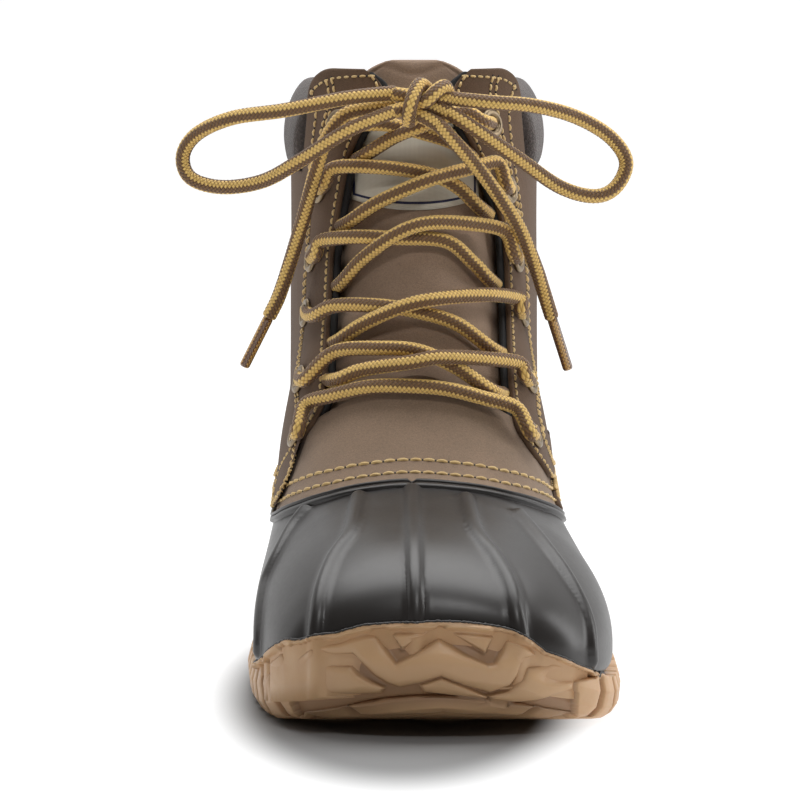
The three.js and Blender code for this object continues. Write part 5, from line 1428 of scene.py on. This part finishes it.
height_share = np.linspace(0, 1, SIDE_ROWS)
count = len(sole_p)
everywhere = np.arange(count)
side_x, side_y, side_z = np.zeros((3, SIDE_ROWS, count))
side_in = np.zeros((SIDE_ROWS, count))
hug = np.zeros((SIDE_ROWS, count))
shell_in = np.full((SIDE_ROWS, count), 99.0)
for j, h in enumerate(height_share):
    z = sole_floor + (sole_top - sole_floor) * h
    plain = np.interp(h, SIDE_INSETS[:, 0], SIDE_INSETS[:, 1])
    blend = np.clip((h - 0.42) / 0.5, 0, 1)
    blend = blend * blend * (3 - 2 * blend)
    if h > 0.4:
        shell_at = shell_inset(z, everywhere)
        shell_in[j] = np.where(shell_at > 30, 99, shell_at)
        cover = CUP_OVER + 4.0 * np.clip((1 - h) / 0.18, 0, 1)
        hug[j] = np.where(shell_at > 30, plain, shell_at - cover)
    side_in[j] = plain + (np.clip(hug[j], plain - 3.5, plain + 6) - plain) * blend
    side_z[j] = z
smooth = np.hanning(9) / np.hanning(9).sum()
for j in range(SIDE_ROWS):
    side_in[j] = np.convolve(np.concatenate([side_in[j, -4:], side_in[j], side_in[j, :4]]), smooth, "valid")
room = 1.0 + 1.2 * np.clip((1 - height_share[:, None]) / 0.12, 0, 1)
side_in = np.minimum(side_in, shell_in - room)
plain_x = edge[:, 0] + inward[:, 0] * side_in
plain_y = edge[:, 1] + inward[:, 1] * side_in
at_toe = (plain_y + SOLE / 2 < 17.5) & (plain_x > -39.6) & (plain_x < 39.4)
front_inside = np.full(plain_x.shape, -99.0)
for polygon in FRONT_LUGS.values():
    front_inside = np.maximum(front_inside, inside_by(polygon, plain_x, side_z))
side_inside = bars_by(np.broadcast_to(edge[:, 0] + inward[:, 0] * 4, plain_x.shape),
                      plain_y + SOLE / 2 - 0.25 * (side_z - sole_floor))
lug_inside = np.where(at_toe, front_inside, side_inside)
groove_side = np.minimum(relief(lug_inside, GROOVE), np.maximum(shell_in - side_in - 0.4, 0.2))
fade_top = np.clip((1 - height_share[:, None]) / 0.14, 0, 1)
groove_side = groove_side * (0.3 + 0.7 * fade_top)
scallop = 1.5 * np.clip(0.5 - lug_inside / 1.5, 0, 1)[-6] * np.clip((edge_back - 0.05) / 0.03, 0, 1)
side_z = side_z - scallop[None] * np.clip((height_share[:, None] - 0.8) / 0.2, 0, 1)
side_x = edge[:, 0] + inward[:, 0] * (side_in + groove_side)
side_y = edge[:, 1] + inward[:, 1] * (side_in + groove_side)

mirror = (-everywhere) % count
low_x, low_y = plain_x[0], plain_y[0]
centre = np.column_stack([(low_x + low_x[mirror]) / 2, (low_y + low_y[mirror]) / 2])
floor_share = np.linspace(0, 1, FLOOR_ROWS)[1:, None]
floor_x = low_x[None] + (centre[:, 0] - low_x)[None] * floor_share
floor_y = low_y[None] + (centre[:, 1] - low_y)[None] * floor_share
floor_back = floor_y / SOLE + 0.5
floor_z = np.interp(floor_back, SOLE_SIDE[:, 0], SOLE_SIDE[:, 2]) * 12
floor_inside = bars_by(floor_x, floor_y + SOLE / 2)
groove_floor = relief(floor_inside, GROOVE)
near_edge = np.linalg.norm(np.stack([floor_x - low_x, floor_y - low_y]), axis=0)
share_in = np.clip(near_edge / 6, 0, 1)
groove_floor = groove_floor * share_in + groove_side[0][None] * (1 - share_in)
side_z[0] += groove_side[0] * 0.6
side_z[1] += groove_side[1] * 0.3

contact = shell_inset(side_z[-1], everywhere)
contact = np.where(contact > 30, side_in[-1] + 1.5, contact) + 0.5
contact = np.maximum(contact, side_in[-1] + 0.8)
contact = np.convolve(np.concatenate([contact[-4:], contact, contact[:4]]), smooth, "valid")
inner_rows = [(side_in[-1] + 0.25 + groove_side[-1], side_z[-1] + 0.12), (contact, side_z[-1] + 0.1),
              (contact, sole_floor * 0.5 + side_z[-1] * 0.5), (contact, sole_floor + 5)]
rows = [np.stack([edge[:, 0] + inward[:, 0] * i, edge[:, 1] + inward[:, 1] * i, z], -1) for i, z in inner_rows]
inner_edge = rows[-1]
inner_centre = (inner_edge + inner_edge[mirror]) / 2
rows += [inner_edge + (inner_centre - inner_edge) * s for s in (0.5, 1.0)]
under = [np.stack([floor_x[k], floor_y[k], floor_z[k] + groove_floor[k]], -1) for k in range(FLOOR_ROWS - 1)][::-1]
side_rows = [np.stack([side_x[j], side_y[j], side_z[j]], -1) for j in range(SIDE_ROWS)]
sole_grid = np.array(under + side_rows + rows)
groove_value = np.concatenate([groove_floor[::-1], groove_side, np.zeros((len(rows), count))]) / GROOVE
faces = grid_faces(len(sole_grid), count, closed=True).tolist()
sole_mesh = mesh_from("gum_sole", sole_grid.reshape(-1, 3), faces)
# The groove value also darkens the gum's colour in its grooves: partly its own tone, partly painted shade.
sole_mesh.attributes.new("groove", "FLOAT", "POINT").data.foreach_set("value", np.clip(groove_value, 0, 1).ravel())
gum_sole = finish_piece("gum_sole", weld(sole_mesh), GUM, ["outsole"])

# %% Flash: the shell's rubber that shows along the gum's top edge
flash_in = (side_in[-1] + groove_side[-1] + contact) / 2 - 0.35
flash_z = side_z[-1] + 0.15 + 0.3 * (rng.random(count) - 0.5) * (np.sin(everywhere * 0.9) > -0.3)
flash_line = np.column_stack([edge[:, 0] + inward[:, 0] * flash_in, edge[:, 1] + inward[:, 1] * flash_in, flash_z])
turn = np.linspace(0, 2 * np.pi, 7)[:-1]
thick = 0.3 + 0.15 * rng.random(count)
side_way = np.column_stack([inward, np.zeros(count)])
flash_grid = (flash_line[:, None] + thick[:, None, None] * (np.cos(turn)[None, :, None] * side_way[:, None] * 1.5
                                                            + np.sin(turn)[None, :, None] * np.array([0, 0, 1.0])))
nose = len(turn)
faces = [(((j + 1) % count) * nose + i, ((j + 1) % count) * nose + (i + 1) % nose, j * nose + (i + 1) % nose, j * nose + i)
         for j in range(count) for i in range(nose)]
finish_piece("sole_flash", weld(mesh_from("sole_flash", flash_grid.reshape(-1, 3), faces)), RUBBER,
             ["shell"])

# %% [markdown]
# ## Insole, floor and light
# The insole lies deep in the boot, so the imported piece is shown as it is, in a brushed lining. The floor is dark grey
# and glows white outside an oval round the boot, so the dark oval under and in front of the toe is a painted shadow.
# The light is that of a product table: a bright dome, a big soft light above the toe and two strips at the sides.

# %% Insole
insole = bpy.data.objects["insole"]
for spot in insole.material_slots:
    spot.material = LINING
print("insole slots:", len(insole.material_slots))

# %% Floor
floor_data = bpy.data.meshes.new("floor")
floor_data.from_pydata([(-30, -4, 0), (30, -4, 0), (30, 60, 0), (-30, 60, 0)], [], [(0, 1, 2, 3)])
floor_object = new_object("floor", floor_data)
floor_finish = bpy.data.materials.new("floor")
floor_finish.use_nodes = True
tree = floor_finish.node_tree
shade = tree.nodes["Principled BSDF"]
# Painted shadow: a dark grey floor that glows white only outside an oval round the boot, so the oval reads as its
# shadow.
shade.inputs["Base Color"].default_value = (0.24, 0.24, 0.24, 1)
shade.inputs["Roughness"].default_value = 0.95
shade.inputs["Specular IOR Level"].default_value = 0.1
shade.inputs["Emission Strength"].default_value = 0.9
shadow_oval = node(tree, "ShaderNodeVectorMath", [(0, node(tree, "ShaderNodeTexCoord").outputs["Object"]),
                                           (1, (1 / 0.046, 1 / 0.118, 1.0)), (2, (0.2, 0.55, 0.0))],
            operation="MULTIPLY_ADD")
far = node(tree, "ShaderNodeVectorMath", [(0, shadow_oval.outputs[0])], operation="LENGTH")
painted_shadow_fade = node(tree, "ShaderNodeMapRange", [(0, far.outputs["Value"]), (1, 0.88), (2, 1.28), (3, 0.0), (4, 1.0)],
            interpolation_type="SMOOTHSTEP")
painted_shadow_glow = node(tree, "ShaderNodeMix", [(0, painted_shadow_fade.outputs[0]), (6, (0, 0, 0, 1)), (7, (1, 1, 1, 1))], data_type="RGBA")
tree.links.new(painted_shadow_glow.outputs[2], shade.inputs["Emission Color"])
floor_data.materials.append(floor_finish)

# %% Light
world = bpy.data.worlds.new("studio")
bpy.context.scene.world = world
world.use_nodes = True
tree = world.node_tree
way = node(tree, "ShaderNodeSeparateXYZ", [(0, node(tree, "ShaderNodeTexCoord").outputs["Generated"])])
behind = node(tree, "ShaderNodeMapRange", [(0, way.outputs[1]), (1, 0.3), (2, 0.85), (3, 0.07), (4, 1.0)],
              interpolation_type="SMOOTHSTEP")
above = node(tree, "ShaderNodeMapRange", [(0, way.outputs[2]), (1, 0.8), (2, 0.99), (3, 0.0), (4, 1.0)],
             interpolation_type="SMOOTHSTEP")
dome = node(tree, "ShaderNodeMath", [(0, behind.outputs[0]), (1, above.outputs[0])], operation="MAXIMUM")
tree.links.new(dome.outputs[0], tree.nodes["Background"].inputs["Strength"])
tree.nodes["Background"].inputs["Color"].default_value = (1, 1, 1, 1)


def area_light(name, place, target, size, power):
    data = bpy.data.lights.new(name, "AREA")
    data.shape = "RECTANGLE"
    data.size, data.size_y = size
    data.energy = power
    made = new_object(name, data)
    made.location = Vector(place)
    made.rotation_euler = (Vector(target) - Vector(place)).to_track_quat("-Z", "Y").to_euler()
    return made


area_light("top light", (0.0, 0.42, 1.3), (0, 0.2, 0.0), (1.6, 1.1), 20)
area_light("front light", (0.2, -0.9, 1.15), (0, 0, 0.1), (0.4, 0.2), 4.0)
area_light("left strip", (-1.0, 0.35, 0.4), (0, 0, 0.08), (0.3, 0.9), 1.2)
area_light("right strip", (1.0, 0.2, 0.4), (0, 0, 0.08), (0.3, 0.9), 4.5)
